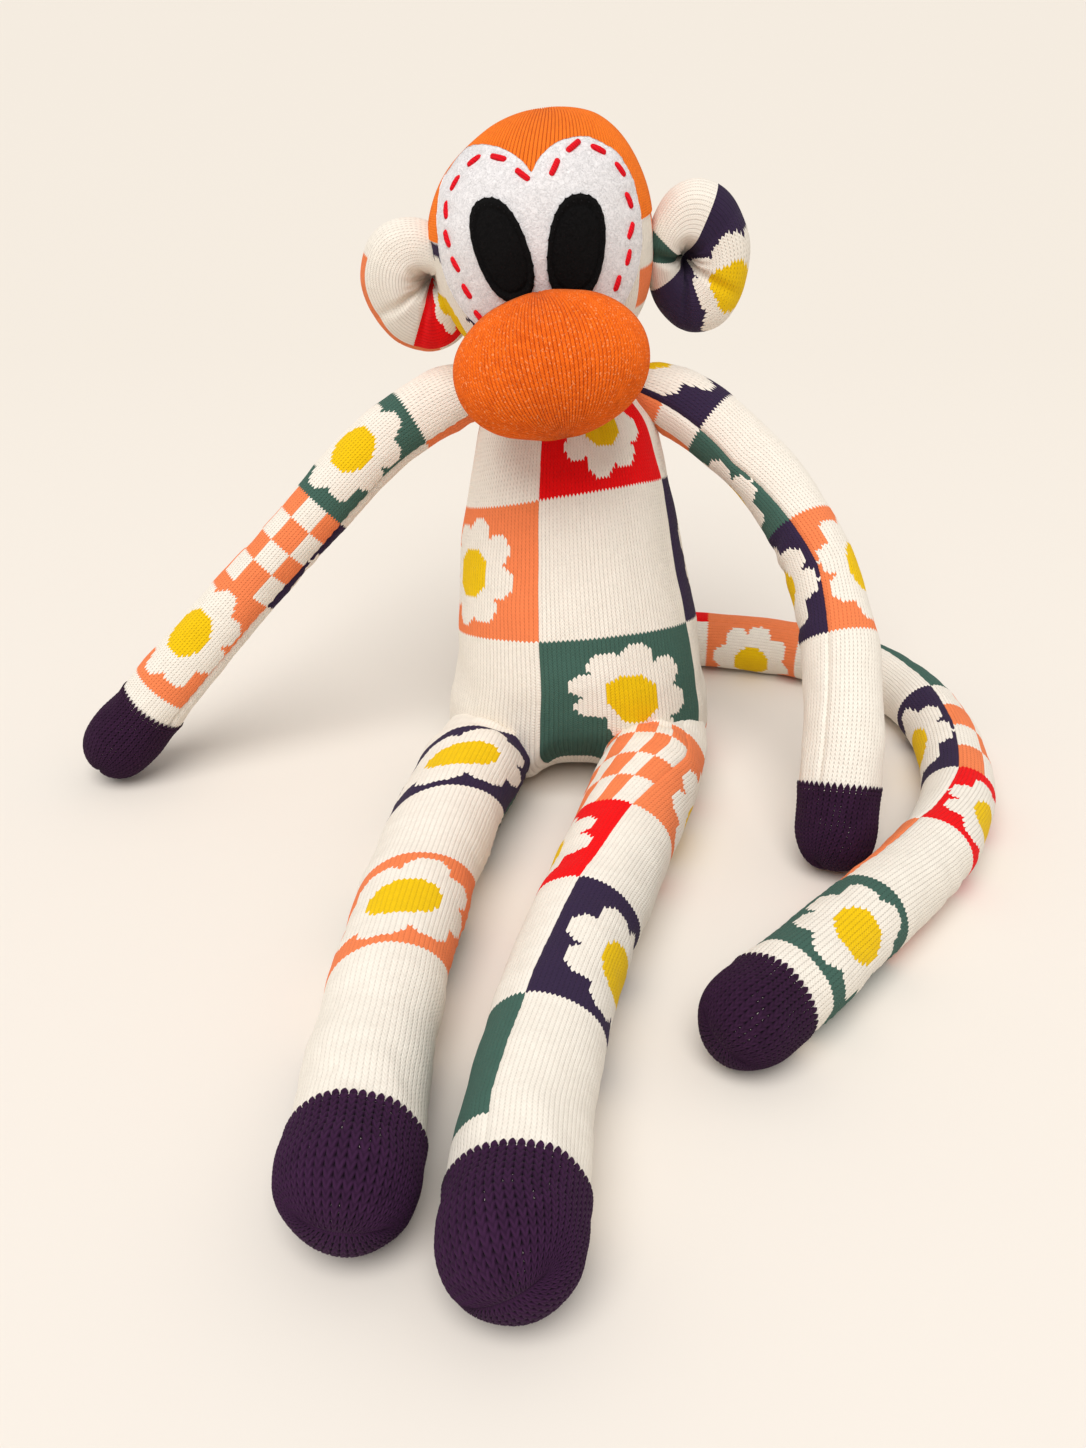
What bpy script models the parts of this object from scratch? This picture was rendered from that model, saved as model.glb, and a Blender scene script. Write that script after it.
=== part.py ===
"""Sock monkey doll, sitting with its legs stretched forward.

A doll of this kind is sewn from one pair of knee socks. One sock is the body: its toe is the crown of
the head, its leg is the torso, and its cuff end is slit to make two legs. The other sock gives the
arms, the tail, the ears and the muzzle. Every piece is stuffed, so every piece here is a tube or an
egg that swells and tapers, and the cloth bends where the stuffing is pressed thin: at the neck, the
ears, the shoulders, the elbows, the hips, the knees and along the tail.

Frame: +Z up, the doll faces -Y, the origin is the middle of the flat seat that it sits on.
Left and right are the doll's own, so its right side lies at -X. Sizes are in metres, angles in degrees.
"""

import math

import bmesh
import bpy
from mathutils import Matrix, Vector

# Clearances that every piece shares
GAP = 0.0003            # between two cloth faces that touch
FELT = 0.0012           # thickness of the felt of the mask and the eyes
OVERRUN = 0.010         # how far a cutter, or the root of a limb, runs past what it cuts
FOLD_SPARE = 0.0006     # slack added to each side of a fold

# Torso: the leg of the sock, stuffed full at the bottom and gathered at the neck
TORSO_HEIGHT = 0.1415
TORSO_WIDTH = 0.099
TORSO_DEPTH = 0.076
TORSO_BELLY = 0.0060    # of the belly's middle in front of the seat's
NECK_BACK = 0.038       # of the neck's middle behind the belly's
NECK_TO_RIGHT = 0.0050  # and beside it, towards the doll's right
TORSO_SPINE_SHARES = (  # share of the height, share of NECK_BACK, share of NECK_TO_RIGHT
    (0.0, 0.03, 0.0), (0.14, 0.0, 0.0), (0.30, 0.05, 0.05), (0.45, 0.17, 0.30), (0.60, 0.37, 0.60),
    (0.75, 0.60, 0.80), (1.0, 1.0, 1.0),
)
TORSO_SHARES = (        # height, width and depth, each as a share of the torso's own
    (0.00, 0.60, 0.58),
    (0.025, 0.80, 0.78),
    (0.07, 0.93, 0.92),
    (0.13, 1.00, 0.985),
    (0.21, 0.99, 1.00),
    (0.31, 0.945, 1.00),
    (0.42, 0.905, 0.97),
    (0.53, 0.86, 0.93),
    (0.69, 0.77, 0.85),
    (0.84, 0.68, 0.75),
    (0.92, 0.60, 0.67),
    (0.97, 0.49, 0.56),
    (1.00, 0.365, 0.44),
)

# Neck: the torso's gathered top, tied round, and the soft fold between it and the head
NECK_TIE_HEIGHT = 0.0018
NECK_FOLD_HEIGHT = 0.0058

# Head: an egg, fuller below than above, tilted to the doll's right
HEAD_WIDTH = 0.0776
HEAD_DEPTH = 0.076
JAW_HEIGHT = 0.0450     # below its middle
CROWN_HEIGHT = 0.0400   # and above it
CROWN_SHIFT = 0.0065    # of the top, towards the doll's left
HEAD_TILT = 6.5
HEAD_FORWARD = 0.0      # of the head's middle, from the neck's
HEAD_TO_RIGHT = 0.0050  # of the head's middle at its foot, from the neck's
JAW_FULLNESS = 2.6      # exponent of the outline below the middle
CROWN_FULLNESS = 1.95   # and above it
HEAD_FOOT_SHARE = 0.955     # of the jaw's height below the middle, where the gathered neck cuts it
CROWN_START_SHARE = 0.09    # of the crown's height above the middle, where the sock's toe cap begins

# Muzzle: a stuffed cup sewn on the face
MUZZLE_WIDTH = 0.066
MUZZLE_HEIGHT = 0.048
MUZZLE_DEPTH = 0.054
MUZZLE_DROP = 0.033     # of its middle below the head's
MUZZLE_REACH = 0.052    # of its middle in front of the head's
MUZZLE_TILT = 11.5
MUZZLE_FULLNESS = 2.25

# Face mask: white felt with two round lobes above a notch
MASK_WIDTH = 0.067
MASK_TOP = 0.0322       # of the lobes above the head's middle
MASK_BOTTOM = 0.027     # of its hidden lower edge below the head's middle
MASK_UPPER_SHARES = (   # half outline from the notch out: share of half the width, share of MASK_TOP
    (0.00, 0.765), (0.055, 0.84), (0.14, 0.915), (0.27, 0.98), (0.43, 1.00), (0.58, 0.968),
    (0.74, 0.865), (0.875, 0.71), (0.965, 0.465), (1.00, 0.19),
)
MASK_LOWER_SHARES = (   # and from there down: share of half the width, share of MASK_BOTTOM
    (0.995, 0.08), (0.94, 0.38), (0.85, 0.62), (0.72, 0.83), (0.50, 0.955), (0.25, 1.00), (0.00, 1.00),
)

# Eyes: tall ovals of black felt
EYE_WIDTH = 0.0200
EYE_HEIGHT = 0.0350
EYE_SPACING = 0.0254
EYE_RISE = {"right": 0.0025, "left": 0.0}   # of each middle above the head's
EYE_TILT = 11.0                             # the tops lean outwards
EYE_SIDES = 28

# Ears: a stuffed roll curled round until its middle closes, with a crease that runs to the head
EAR_THICKNESS = 0.021
EAR_DIMPLE_DEPTH = 0.0062
EAR_CREASE_DEPTH = 0.0034
EAR_CREASE_WIDTH = 0.0042
EAR_PRESS_SHARE = 0.70      # of the ear's half thickness that dimple and crease may press in
EAR_ROOT = 0.0030       # length of the soft root between ear and head
EAR_RING_SHARES = (     # radius and depth of the rings, front dimple to back dimple
    (0.10, 0.62), (0.22, 0.80), (0.40, 0.96), (0.60, 1.00), (0.80, 0.80), (0.94, 0.44), (1.00, 0.0),
    (0.94, -0.44), (0.80, -0.78), (0.58, -0.93), (0.34, -0.86), (0.14, -0.72),
)
EAR_WIDTH = {"right": 0.0392, "left": 0.0368}
EAR_HEIGHT = {"right": 0.0480, "left": 0.0530}
EAR_OUT = {"right": 0.0460, "left": 0.0550}     # of each middle beside the head's
EAR_DOWN = {"right": 0.0135, "left": 0.0150}    # and below it
EAR_BACK = 0.0010                               # and behind it
EAR_TILT = {"right": 17.0, "left": 2.0}

# Arms: thin tubes, sewn to the shoulders, hands on the floor
ARM_WIDTH = 0.0250
ARM_ROOT_DROP = 0.0030      # of the root below the torso's top
ARM_ROOT_BACK = 0.0013      # of the root behind the torso's middle line
ARM_OUT = {"right": 0.0270, "left": 0.0220}     # of the root, from the torso's middle line
ARM_LENGTH = {"right": 0.2145, "left": 0.2145}
ARM_HEADING_SHARES = {  # share of the length, degrees from ahead towards the doll's left, degrees of rise
    "right": ((0.0, -74.0, -9.0), (0.12, -70.0, -24.0), (0.30, -64.0, -42.0), (0.75, -71.0, -45.0),
              (1.0, -77.0, -46.5)),
    "left": ((0.0, 78.0, -10.0), (0.16, 60.0, -28.0), (0.42, 29.0, -38.0), (0.68, 1.5, -47.0),
             (1.0, -17.0, -66.0)),
}
ARM_WIDTH_SHARES = {    # share of the length, share of the width
    "right": ((0.0, 0.74), (0.10, 0.96), (0.25, 0.95), (0.50, 0.92), (0.75, 0.97), (0.86, 1.04), (0.93, 1.09),
              (1.0, 1.08)),
    "left": ((0.0, 0.78), (0.10, 0.98), (0.30, 0.98), (0.55, 1.04), (0.80, 1.09), (0.88, 1.11), (1.0, 1.06)),
}
SHOULDER_AXIS = 0.0135      # from the arm's root along it
REACH_ANGLE = 17.5          # above the level, of the direction in which a raised arm reaches forward
HAND_LENGTH = {"right": 0.0335, "left": 0.0295}
ELBOW_SHARE = 0.47

# Legs: the two halves of the sock's slit end, lying on the floor
LEG_WIDTH = 0.0372
HIP_SPACING = 0.0600
HIP_SPARE = 0.0025          # between a thigh and the room it swings in, and the seat's edge when it hangs
HIP_FORWARD = 0.0120        # of the hip's axis, from the middle of the seat
LEG_LIFT = 0.0003           # of the lowest cloth above the floor
LEG_LENGTH = {"right": 0.2490, "left": 0.2710}
LEG_HEADING_SHARES = {
    "right": ((0.0, -16.0, 0.0), (0.30, -11.5, 0.0), (0.60, -5.0, 0.0), (1.0, 0.5, 0.0)),
    "left": ((0.0, -4.0, 0.0), (0.075, -5.0, 0.0), (0.19, -17.0, 0.0), (0.50, -16.5, 0.0), (0.75, -8.0, 0.0),
             (1.0, -2.5, 0.0)),
}
LEG_WIDTH_SHARES = (
    (0.0, 1.02), (0.15, 1.00), (0.45, 0.94), (0.70, 0.93), (0.85, 0.955), (0.93, 0.975), (1.0, 0.965),
)
FOOT_LENGTH = {"right": 0.0290, "left": 0.0320}
KNEE_SHARE = 0.47

# Tail: one long roll, curled round on the floor beside the doll
TAIL_WIDTH = 0.0245
TAIL_LENGTH = 0.4160
TAIL_ROOT_DEPTH = 0.0013    # of the root inside the torso's back
TAIL_ROOT_OUT = 0.0110
TAIL_HEADING_SHARES = (
    (0.0, 178.0, 0.0), (0.08, 140.0, 0.0), (0.16, 84.0, 0.0), (0.25, 71.0, 0.0), (0.32, 53.0, 0.0),
    (0.38, 29.5, 0.0), (0.45, 9.0, 0.0), (0.53, -5.0, 0.0), (0.61, -17.0, 0.0), (0.68, -33.0, 0.0),
    (0.75, -41.0, 0.0), (0.88, -41.5, 0.0), (1.0, -47.0, 0.0),
)
TAIL_WIDTH_SHARES = (
    (0.0, 0.92), (0.08, 0.98), (0.45, 0.99), (0.60, 1.05), (0.80, 1.15), (0.93, 1.21), (1.0, 1.20),
)
TAIL_TIP_LENGTH = 0.0255
TAIL_ROOT_AXIS = 0.0200     # from the tail's root along it
TAIL_FOLD_SHARES = {"base": 0.27, "bow": 0.50, "run": 0.73}

# How far each fold bends from the sitting pose, in degrees. At the hips only the rise sets a size: a thigh
# that hangs down clears the edge of the seat by HIP_SPARE.
SHOULDER_ANGLE = 50.0
ELBOW_ANGLE = 55.0
HIP_RAISE_ANGLE = 10.0
HIP_SLACK_ANGLE = 1.0
KNEE_ANGLE = 60.0
TAIL_ROOT_ANGLE = 30.0
TAIL_ANGLE = 35.0

# Facets
TORSO_SIDES = 32
HEAD_SIDES = 32
MUZZLE_SIDES = 28
EAR_SIDES = 26
LEG_SIDES = 22
ARM_SIDES = 18
TAIL_SIDES = 18
RING_SPACING = 0.0085       # between the rings of a limb
WALK_STEPS = 240            # of each limb's middle line
ROUND_RINGS = 5             # in the round end of a limb
HEAD_RINGS = 18
MUZZLE_RINGS = 14
ROUND_LENGTH_SHARE = 0.95   # of the limb's radius, along the limb
ROUND_FULLNESS = 2.3        # exponent of its outline
POLE_SHARE = 0.004          # radius of the last ring before a pointed end, as a share of the widest
TORSO_RINGS = 22
TORSO_RING_CROWDING = 1.35  # exponent that draws the torso's rings towards its round foot
SHARP_ANGLE = 45.0          # degrees between two faces that keep an edge between them

# Finishes: colour, roughness and metallic
YARN_PATTERNED = ("patterned_yarn", (0.86, 0.82, 0.74, 1.0), 0.9, 0.0)
YARN_ORANGE = ("orange_yarn", (0.86, 0.16, 0.02, 1.0), 0.9, 0.0)
YARN_PURPLE = ("purple_yarn", (0.040, 0.013, 0.050, 1.0), 0.9, 0.0)
FELT_WHITE = ("white_felt", (0.82, 0.80, 0.82, 1.0), 0.95, 0.0)
FELT_BLACK = ("black_felt", (0.006, 0.006, 0.006, 1.0), 0.95, 0.0)

SIDES = {"right": -1.0, "left": 1.0}
UP = Vector((0.0, 0.0, 1.0))
FORWARD = Vector((0.0, -1.0, 0.0))
TO_LEFT = Vector((1.0, 0.0, 0.0))


def clear_scene():
    for old in list(bpy.data.objects):
        bpy.data.objects.remove(old)


def material(finish):
    name, colour, roughness, metallic = finish
    made = bpy.data.materials.get(name)
    if made:
        return made
    made = bpy.data.materials.new(name)
    made.use_nodes = True
    shader = made.node_tree.nodes["Principled BSDF"]
    shader.inputs["Base Color"].default_value = colour
    shader.inputs["Roughness"].default_value = roughness
    shader.inputs["Metallic"].default_value = metallic
    made.diffuse_color = colour
    return made


def read_table(table, share):
    """The row of a table of shares at any share, drawn straight from row to row."""
    for low, high in zip(table, table[1:]):
        if share <= high[0]:
            part = max(0.0, (share - low[0]) / (high[0] - low[0]))
            return [a + (b - a) * part for a, b in zip(low[1:], high[1:])]
    return list(table[-1][1:])


# Joints: an empty on each fold, its own Z along the axis that the fold turns on

PIVOTS = {}


def pivot(name, place, axis, parent=None):
    across = axis.normalized()
    turn = UP.rotation_difference(across).to_matrix().to_4x4()
    world = Matrix.Translation(place) @ turn
    empty = bpy.data.objects.new(name, None)
    empty.empty_display_size = OVERRUN
    bpy.context.collection.objects.link(empty)
    local = world
    if parent:
        empty.parent = parent
        local = PIVOTS[parent.name].inverted() @ world
    empty.location = local.to_translation()
    empty.rotation_mode = "QUATERNION"
    empty.rotation_quaternion = local.to_quaternion()
    PIVOTS[name] = world
    return empty


def finish(bm, name, look, carrier=None):
    """Makes an object of a closed mesh that was built in place, and hangs it on its joint's empty."""
    bmesh.ops.recalc_face_normals(bm, faces=bm.faces)
    if carrier:
        bm.transform(PIVOTS[carrier.name].inverted())
    mesh = bpy.data.meshes.new(name)
    bm.to_mesh(mesh)
    bm.free()
    mesh.shade_smooth()
    mesh.set_sharp_from_angle(angle=math.radians(SHARP_ANGLE))
    piece = bpy.data.objects.new(name, mesh)
    piece.parent = carrier
    bpy.context.collection.objects.link(piece)
    if look:
        mesh.materials.append(material(look))
    return piece


def hide_as_tool(piece):
    piece.hide_render = True
    piece.display_type = "WIRE"
    return piece


def cut(piece, tool, operation="DIFFERENCE"):
    step = piece.modifiers.new(operation.lower() + "_" + tool.name, "BOOLEAN")
    step.operation = operation
    step.object = tool
    step.solver = "EXACT"


# Lofts: a ring is drawn out from frame to frame, and each frame sets its place, tilt, width and depth

def loft(frames, sides, pointed_start=False, pointed_end=False):
    bm = bmesh.new()
    first = bmesh.ops.create_circle(bm, segments=sides, radius=1.0, matrix=frames[0])
    first_ring = first["verts"]
    ring = first_ring
    edges = list(bm.edges)
    for before, after in zip(frames, frames[1:]):
        drawn = bmesh.ops.extrude_edge_only(bm, edges=edges)["geom"]
        ring = [part for part in drawn if isinstance(part, bmesh.types.BMVert)]
        edges = [part for part in drawn if isinstance(part, bmesh.types.BMEdge)]
        bmesh.ops.transform(bm, matrix=after @ before.inverted(), verts=ring)
    for end_ring, pointed in ((first_ring, pointed_start), (ring, pointed_end)):
        if pointed:
            middle = sum((v.co for v in end_ring), Vector()) / sides
            bmesh.ops.pointmerge(bm, verts=end_ring, merge_co=middle)
        else:
            bmesh.ops.contextual_create(bm, geom=end_ring)
    return bm


def level_frame(middle, half_width, half_depth, tilt=None):
    size = Matrix.Diagonal((half_width, half_depth, 1.0, 1.0))
    turned = tilt @ size if tilt else size
    return Matrix.Translation(middle) @ turned


# Torso and neck

def torso_middle(height):
    back, across = read_table(TORSO_SPINE_SHARES, height / TORSO_HEIGHT)
    return Vector((-across * NECK_TO_RIGHT, back * NECK_BACK - TORSO_BELLY, height))


def torso_back(height):
    """How far behind the seat's middle the torso's back lies at a height."""
    depth = read_table(TORSO_SHARES, height / TORSO_HEIGHT)[1]
    return torso_middle(height).y + depth * TORSO_DEPTH / 2


def torso_form(extra=0.0):
    frames = []
    for index in range(TORSO_RINGS + 1):
        share = (index / TORSO_RINGS) ** TORSO_RING_CROWDING
        width, depth = read_table(TORSO_SHARES, share)
        middle = torso_middle(share * TORSO_HEIGHT)
        half_width = width * TORSO_WIDTH / 2 + extra
        half_depth = depth * TORSO_DEPTH / 2 + extra
        frames.append(level_frame(middle, half_width, half_depth))
    frames[-1] = Matrix.Translation(UP * extra) @ frames[-1]
    return loft(frames, TORSO_SIDES)


def neck_frames():
    """The frames of the gathered neck: torso top, tie, and the foot of the head."""
    width = TORSO_SHARES[-1][1] * TORSO_WIDTH / 2
    depth = TORSO_SHARES[-1][2] * TORSO_DEPTH / 2
    low = torso_middle(TORSO_HEIGHT) + UP * GAP
    tie = low + UP * NECK_TIE_HEIGHT
    fold = tie + UP * GAP
    return [level_frame(place, width, depth) for place in (low, tie, fold)]


# Head, crown, muzzle, mask and eyes

def head_tilt():
    return Matrix.Rotation(math.radians(-HEAD_TILT), 4, "Y")


def head_foot():
    """The middle of the head's flat foot, above the neck's fold."""
    top = torso_middle(TORSO_HEIGHT)
    rise = NECK_TIE_HEIGHT + NECK_FOLD_HEIGHT + 3 * GAP
    return top + Vector((-HEAD_TO_RIGHT, -HEAD_FORWARD, rise))


def head_middle():
    return head_foot() + (head_tilt() @ UP) * (HEAD_FOOT_SHARE * JAW_HEIGHT)


def head_frame():
    return Matrix.Translation(head_middle()) @ head_tilt()


def egg_radius(away, fullness):
    """Radius of a unit egg at a share of the way from its middle to its end."""
    return (1.0 - min(1.0, abs(away)) ** fullness) ** (1.0 / fullness)


def head_ring(level, extra=0.0):
    """The head's outline at a level from -1 at the foot of the jaw, through 0, to 1 on the crown."""
    fullness = JAW_FULLNESS if level < 0 else CROWN_FULLNESS
    height = (JAW_HEIGHT if level < 0 else CROWN_HEIGHT) + extra
    radius = max(POLE_SHARE, egg_radius(level, fullness))
    shift = CROWN_SHIFT * max(0.0, level) ** 2
    place = head_frame() @ Vector((shift, 0.0, level * height))
    half_width = radius * (HEAD_WIDTH / 2 + extra)
    half_depth = radius * (HEAD_DEPTH / 2 + extra)
    return level_frame(place, half_width, half_depth, head_tilt())


def head_rings(start, end, extra=0.0):
    levels = [-math.cos(math.pi * index / HEAD_RINGS) for index in range(HEAD_RINGS + 1)]
    between = [level for level in levels if start < level < end]
    return [head_ring(level, extra) for level in [start] + between + [end]]


def head_form(extra=0.0):
    return loft(head_rings(-1.0, 1.0, extra), HEAD_SIDES, pointed_start=True, pointed_end=True)


def muzzle_form(extra=0.0):
    tilt = head_frame() @ Matrix.Rotation(math.radians(HEAD_TILT - MUZZLE_TILT), 4, "Y")
    base = head_frame() @ Vector((0.0, -MUZZLE_REACH, -MUZZLE_DROP))
    turn = tilt.to_quaternion().to_matrix().to_4x4() @ Matrix.Rotation(math.radians(90.0), 4, "X")
    frames = []
    for index in range(MUZZLE_RINGS + 1):
        level = -math.cos(math.pi * index / MUZZLE_RINGS)
        radius = max(POLE_SHARE, egg_radius(level, MUZZLE_FULLNESS))
        along = level * (MUZZLE_DEPTH / 2 + extra)
        half_width = radius * (MUZZLE_WIDTH / 2 + extra)
        half_height = radius * (MUZZLE_HEIGHT / 2 + extra)
        size = Matrix.Diagonal((half_width, half_height, 1.0, 1.0))
        frames.append(Matrix.Translation(base) @ turn @ Matrix.Translation((0.0, 0.0, along)) @ size)
    return loft(frames, MUZZLE_SIDES, pointed_start=True, pointed_end=True)


def mask_outline():
    half = [(MASK_WIDTH / 2 * x, MASK_TOP * z) for x, z in MASK_UPPER_SHARES]
    half += [(MASK_WIDTH / 2 * x, -MASK_BOTTOM * z) for x, z in MASK_LOWER_SHARES]
    mirrored = [(-x, z) for x, z in reversed(half[1:-1])]
    return half + mirrored


def eye_outline(side):
    lean = math.radians(EYE_TILT) * SIDES[side]
    points = []
    for index in range(EYE_SIDES):
        angle = 2 * math.pi * index / EYE_SIDES
        x = EYE_WIDTH / 2 * math.cos(angle)
        z = EYE_HEIGHT / 2 * math.sin(angle)
        across = x * math.cos(lean) + z * math.sin(lean)
        up = z * math.cos(lean) - x * math.sin(lean)
        points.append((SIDES[side] * EYE_SPACING / 2 + across, EYE_RISE[side] + up))
    return points


def face_prism(outline):
    """A flat outline in the plane of the face, drawn through the front half of the head."""
    bm = bmesh.new()
    front = [bm.verts.new((x, -HEAD_DEPTH, z)) for x, z in outline]
    face = bm.faces.new(front)
    drawn = bmesh.ops.extrude_face_region(bm, geom=[face])["geom"]
    back = [part for part in drawn if isinstance(part, bmesh.types.BMVert)]
    bmesh.ops.translate(bm, vec=(0.0, HEAD_DEPTH, 0.0), verts=back)
    bm.transform(head_frame())
    return bm


# Ears

def ear_form(side):
    out = SIDES[side] * EAR_OUT[side]
    middle = head_frame() @ Vector((out, EAR_BACK, -EAR_DOWN[side]))
    tilt = head_tilt() @ Matrix.Rotation(math.radians(SIDES[side] * EAR_TILT[side]), 4, "Y")
    turn = tilt @ Matrix.Rotation(math.radians(90.0), 4, "X")
    frames = []
    for radius, depth in EAR_RING_SHARES:
        along = -depth * EAR_THICKNESS / 2
        size = Matrix.Diagonal((radius * EAR_WIDTH[side] / 2, radius * EAR_HEIGHT[side] / 2, 1.0, 1.0))
        frames.append(turn @ Matrix.Translation((0.0, 0.0, -along)) @ size)
    bm = loft(frames, EAR_SIDES, pointed_start=True, pointed_end=True)
    crease_ear(bm, -SIDES[side])
    bm.transform(Matrix.Translation(middle))
    return bm


def crease_ear(bm, toward_head):
    """Presses the crease from the dimple to the head, and the dimple itself, into front and back."""
    for vert in bm.verts:
        along = vert.co.x * toward_head
        beside = vert.co.z / EAR_CREASE_WIDTH
        if along > 0.0:
            press = EAR_CREASE_DEPTH * math.exp(-beside * beside)
        else:
            press = 0.0
        side = 1.0 if vert.co.y > 0 else -1.0
        from_middle = vert.co.length / EAR_CREASE_WIDTH
        press += EAR_DIMPLE_DEPTH * math.exp(-from_middle * from_middle / 2) / 2
        press = min(press, abs(vert.co.y) * EAR_PRESS_SHARE)
        vert.co.y -= side * press


# Limbs: each follows a middle line that is walked along its headings

def heading_vector(azimuth, pitch):
    level = math.cos(math.radians(pitch))
    across = math.sin(math.radians(azimuth)) * level
    forward = -math.cos(math.radians(azimuth)) * level
    return Vector((across, forward, math.sin(math.radians(pitch))))


class Limb:
    """A stuffed tube: its middle line, its width along that line, and its round end."""

    def __init__(self, root, length, heading_shares, width, width_shares, sides, on_floor):
        self.length = length
        self.width = width
        self.width_shares = width_shares
        self.sides = sides
        self.points = [Vector(root)]
        self.round_length = self.full_radius(length) * ROUND_LENGTH_SHARE
        step = length / WALK_STEPS
        for index in range(WALK_STEPS):
            azimuth, pitch = read_table(heading_shares, (index + 0.5) / WALK_STEPS)
            self.points.append(self.points[-1] + heading_vector(azimuth, pitch) * step)
        if on_floor:
            for index, point in enumerate(self.points):
                point.z = self.full_radius(index * step) + LEG_LIFT

    def full_radius(self, distance):
        return self.width / 2 * read_table(self.width_shares, distance / self.length)[0]

    def radius(self, distance):
        full = self.full_radius(distance)
        into_end = distance - (self.length - self.round_length)
        if into_end <= 0:
            return full
        part = min(1.0, into_end / self.round_length)
        return full * max(POLE_SHARE, egg_radius(part, ROUND_FULLNESS))

    def point(self, distance):
        place = distance / self.length * WALK_STEPS
        index = min(max(int(math.floor(place)), 0), WALK_STEPS - 1)
        return self.points[index].lerp(self.points[index + 1], place - index)

    def direction(self, distance):
        step = self.length / WALK_STEPS
        ahead = self.point(distance + 2 * step)
        behind = self.point(distance - 2 * step)
        return (ahead - behind).normalized()

    def frame(self, distance, extra=0.0):
        along = self.direction(distance)
        across = along.cross(UP).normalized()
        over = across.cross(along)
        turn = Matrix((across, over, along)).transposed().to_4x4()
        radius = self.radius(distance) + extra
        return Matrix.Translation(self.point(distance)) @ turn @ Matrix.Diagonal((radius, radius, 1.0, 1.0))

    def piece(self, start, end=None, extra=0.0):
        """The solid between two distances along the limb, or up to its round end."""
        last = self.length - self.round_length if end is None else end
        count = max(2, round((last - start) / RING_SPACING))
        distances = [start + (last - start) * index / count for index in range(count + 1)]
        if end is None:
            for index in range(1, ROUND_RINGS + 1):
                angle = math.pi / 2 * index / ROUND_RINGS
                distances.append(last + self.round_length * math.sin(angle))
        frames = [self.frame(distance, extra) for distance in distances]
        return loft(frames, self.sides, pointed_end=end is None)


def fold_reach(radius, bend):
    """Half the length that a fold needs, so that the stuffed ends beside it never meet."""
    return radius * math.tan(math.radians(bend) / 2) + FOLD_SPARE


def bend_axis(limb, distance, toward):
    return limb.direction(distance).cross(toward).normalized()


# Legs: both start at a flat face inside the torso, on the axis that they swing about

def hip_height():
    return LEG_WIDTH * LEG_WIDTH_SHARES[0][1] / 2 + LEG_LIFT


def leg_limb(side):
    root = Vector((SIDES[side] * HIP_SPACING / 2, -HIP_FORWARD, hip_height()))
    headings = LEG_HEADING_SHARES[side]
    return Limb(root, LEG_LENGTH[side], headings, LEG_WIDTH, LEG_WIDTH_SHARES, LEG_SIDES, True)


def keep_front(bm, distance):
    """Cuts off what lies less than a distance in front of the middle of the seat, and closes the cut."""
    everything = list(bm.verts) + list(bm.edges) + list(bm.faces)
    plane = FORWARD * distance
    sliced = bmesh.ops.bisect_plane(bm, geom=everything, plane_co=plane, plane_no=-FORWARD, clear_outer=True)
    rim = [part for part in sliced["geom_cut"] if isinstance(part, bmesh.types.BMEdge)]
    bmesh.ops.contextual_create(bm, geom=rim)


def thigh_room(side):
    """The room in the belly that a thigh swings in, from raised down through the floor."""
    limb = leg_limb(side)
    room = limb.piece(-OVERRUN, TORSO_DEPTH, HIP_SPARE)
    below_middle = hip_height() - LEG_WIDTH / LEG_SIDES
    low = [v for v in room.verts if v.co.z < below_middle]
    hip = limb.point(0.0)
    swing = Matrix.Rotation(math.radians(-HIP_RAISE_ANGLE - HIP_SLACK_ANGLE), 4, "X")
    room.transform(Matrix.Translation(hip) @ swing @ Matrix.Translation(-hip))
    for vert in low:
        vert.co.z = -OVERRUN
    keep_front(room, HIP_FORWARD)
    return room


# The pieces

def make_torso():
    torso = finish(torso_form(), "torso", YARN_PATTERNED)
    for side in SIDES:
        cut(torso, hide_as_tool(finish(thigh_room(side), side + "_thigh_room", None)))
    return torso


def make_neck():
    low, tie, fold = neck_frames()
    turn = pivot("neck_turn_pivot", torso_middle(TORSO_HEIGHT), UP)
    finish(loft([low, tie], TORSO_SIDES), "neck", YARN_PATTERNED, turn)
    foot = head_ring(-HEAD_FOOT_SHARE)
    top = Matrix.Translation(UP * -GAP) @ foot
    middle = (fold.to_translation() + top.to_translation()) / 2
    nod = pivot("head_nod_pivot", middle, -TO_LEFT, turn)
    finish(loft([fold, top], TORSO_SIDES), "neck_fold", YARN_PATTERNED, nod)
    return nod


def make_head(nod):
    low = head_rings(-HEAD_FOOT_SHARE, CROWN_START_SHARE)
    finish(loft(low, HEAD_SIDES), "head", YARN_PATTERNED, nod)
    lift = (head_tilt() @ UP) * GAP
    high = [Matrix.Translation(lift) @ ring for ring in head_rings(CROWN_START_SHARE, 1.0)]
    finish(loft(high, HEAD_SIDES, pointed_end=True), "crown", YARN_ORANGE, nod)


def make_head_tools():
    """The head at the sizes that cloth lies on it, used as cutters."""
    return {
        "skin": hide_as_tool(finish(head_form(GAP), "head_skin", None)),
        "mask": hide_as_tool(finish(head_form(GAP + FELT), "head_mask", None)),
        "eye_floor": hide_as_tool(finish(head_form(2 * GAP + FELT), "head_eye_floor", None)),
        "eye": hide_as_tool(finish(head_form(2 * GAP + 2 * FELT), "head_eye", None)),
        "ear_root": hide_as_tool(finish(head_form(EAR_ROOT), "head_ear_root", None)),
        "ear": hide_as_tool(finish(head_form(EAR_ROOT + GAP), "head_ear", None)),
        "muzzle": hide_as_tool(finish(muzzle_form(GAP), "muzzle_skin", None)),
    }


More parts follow.
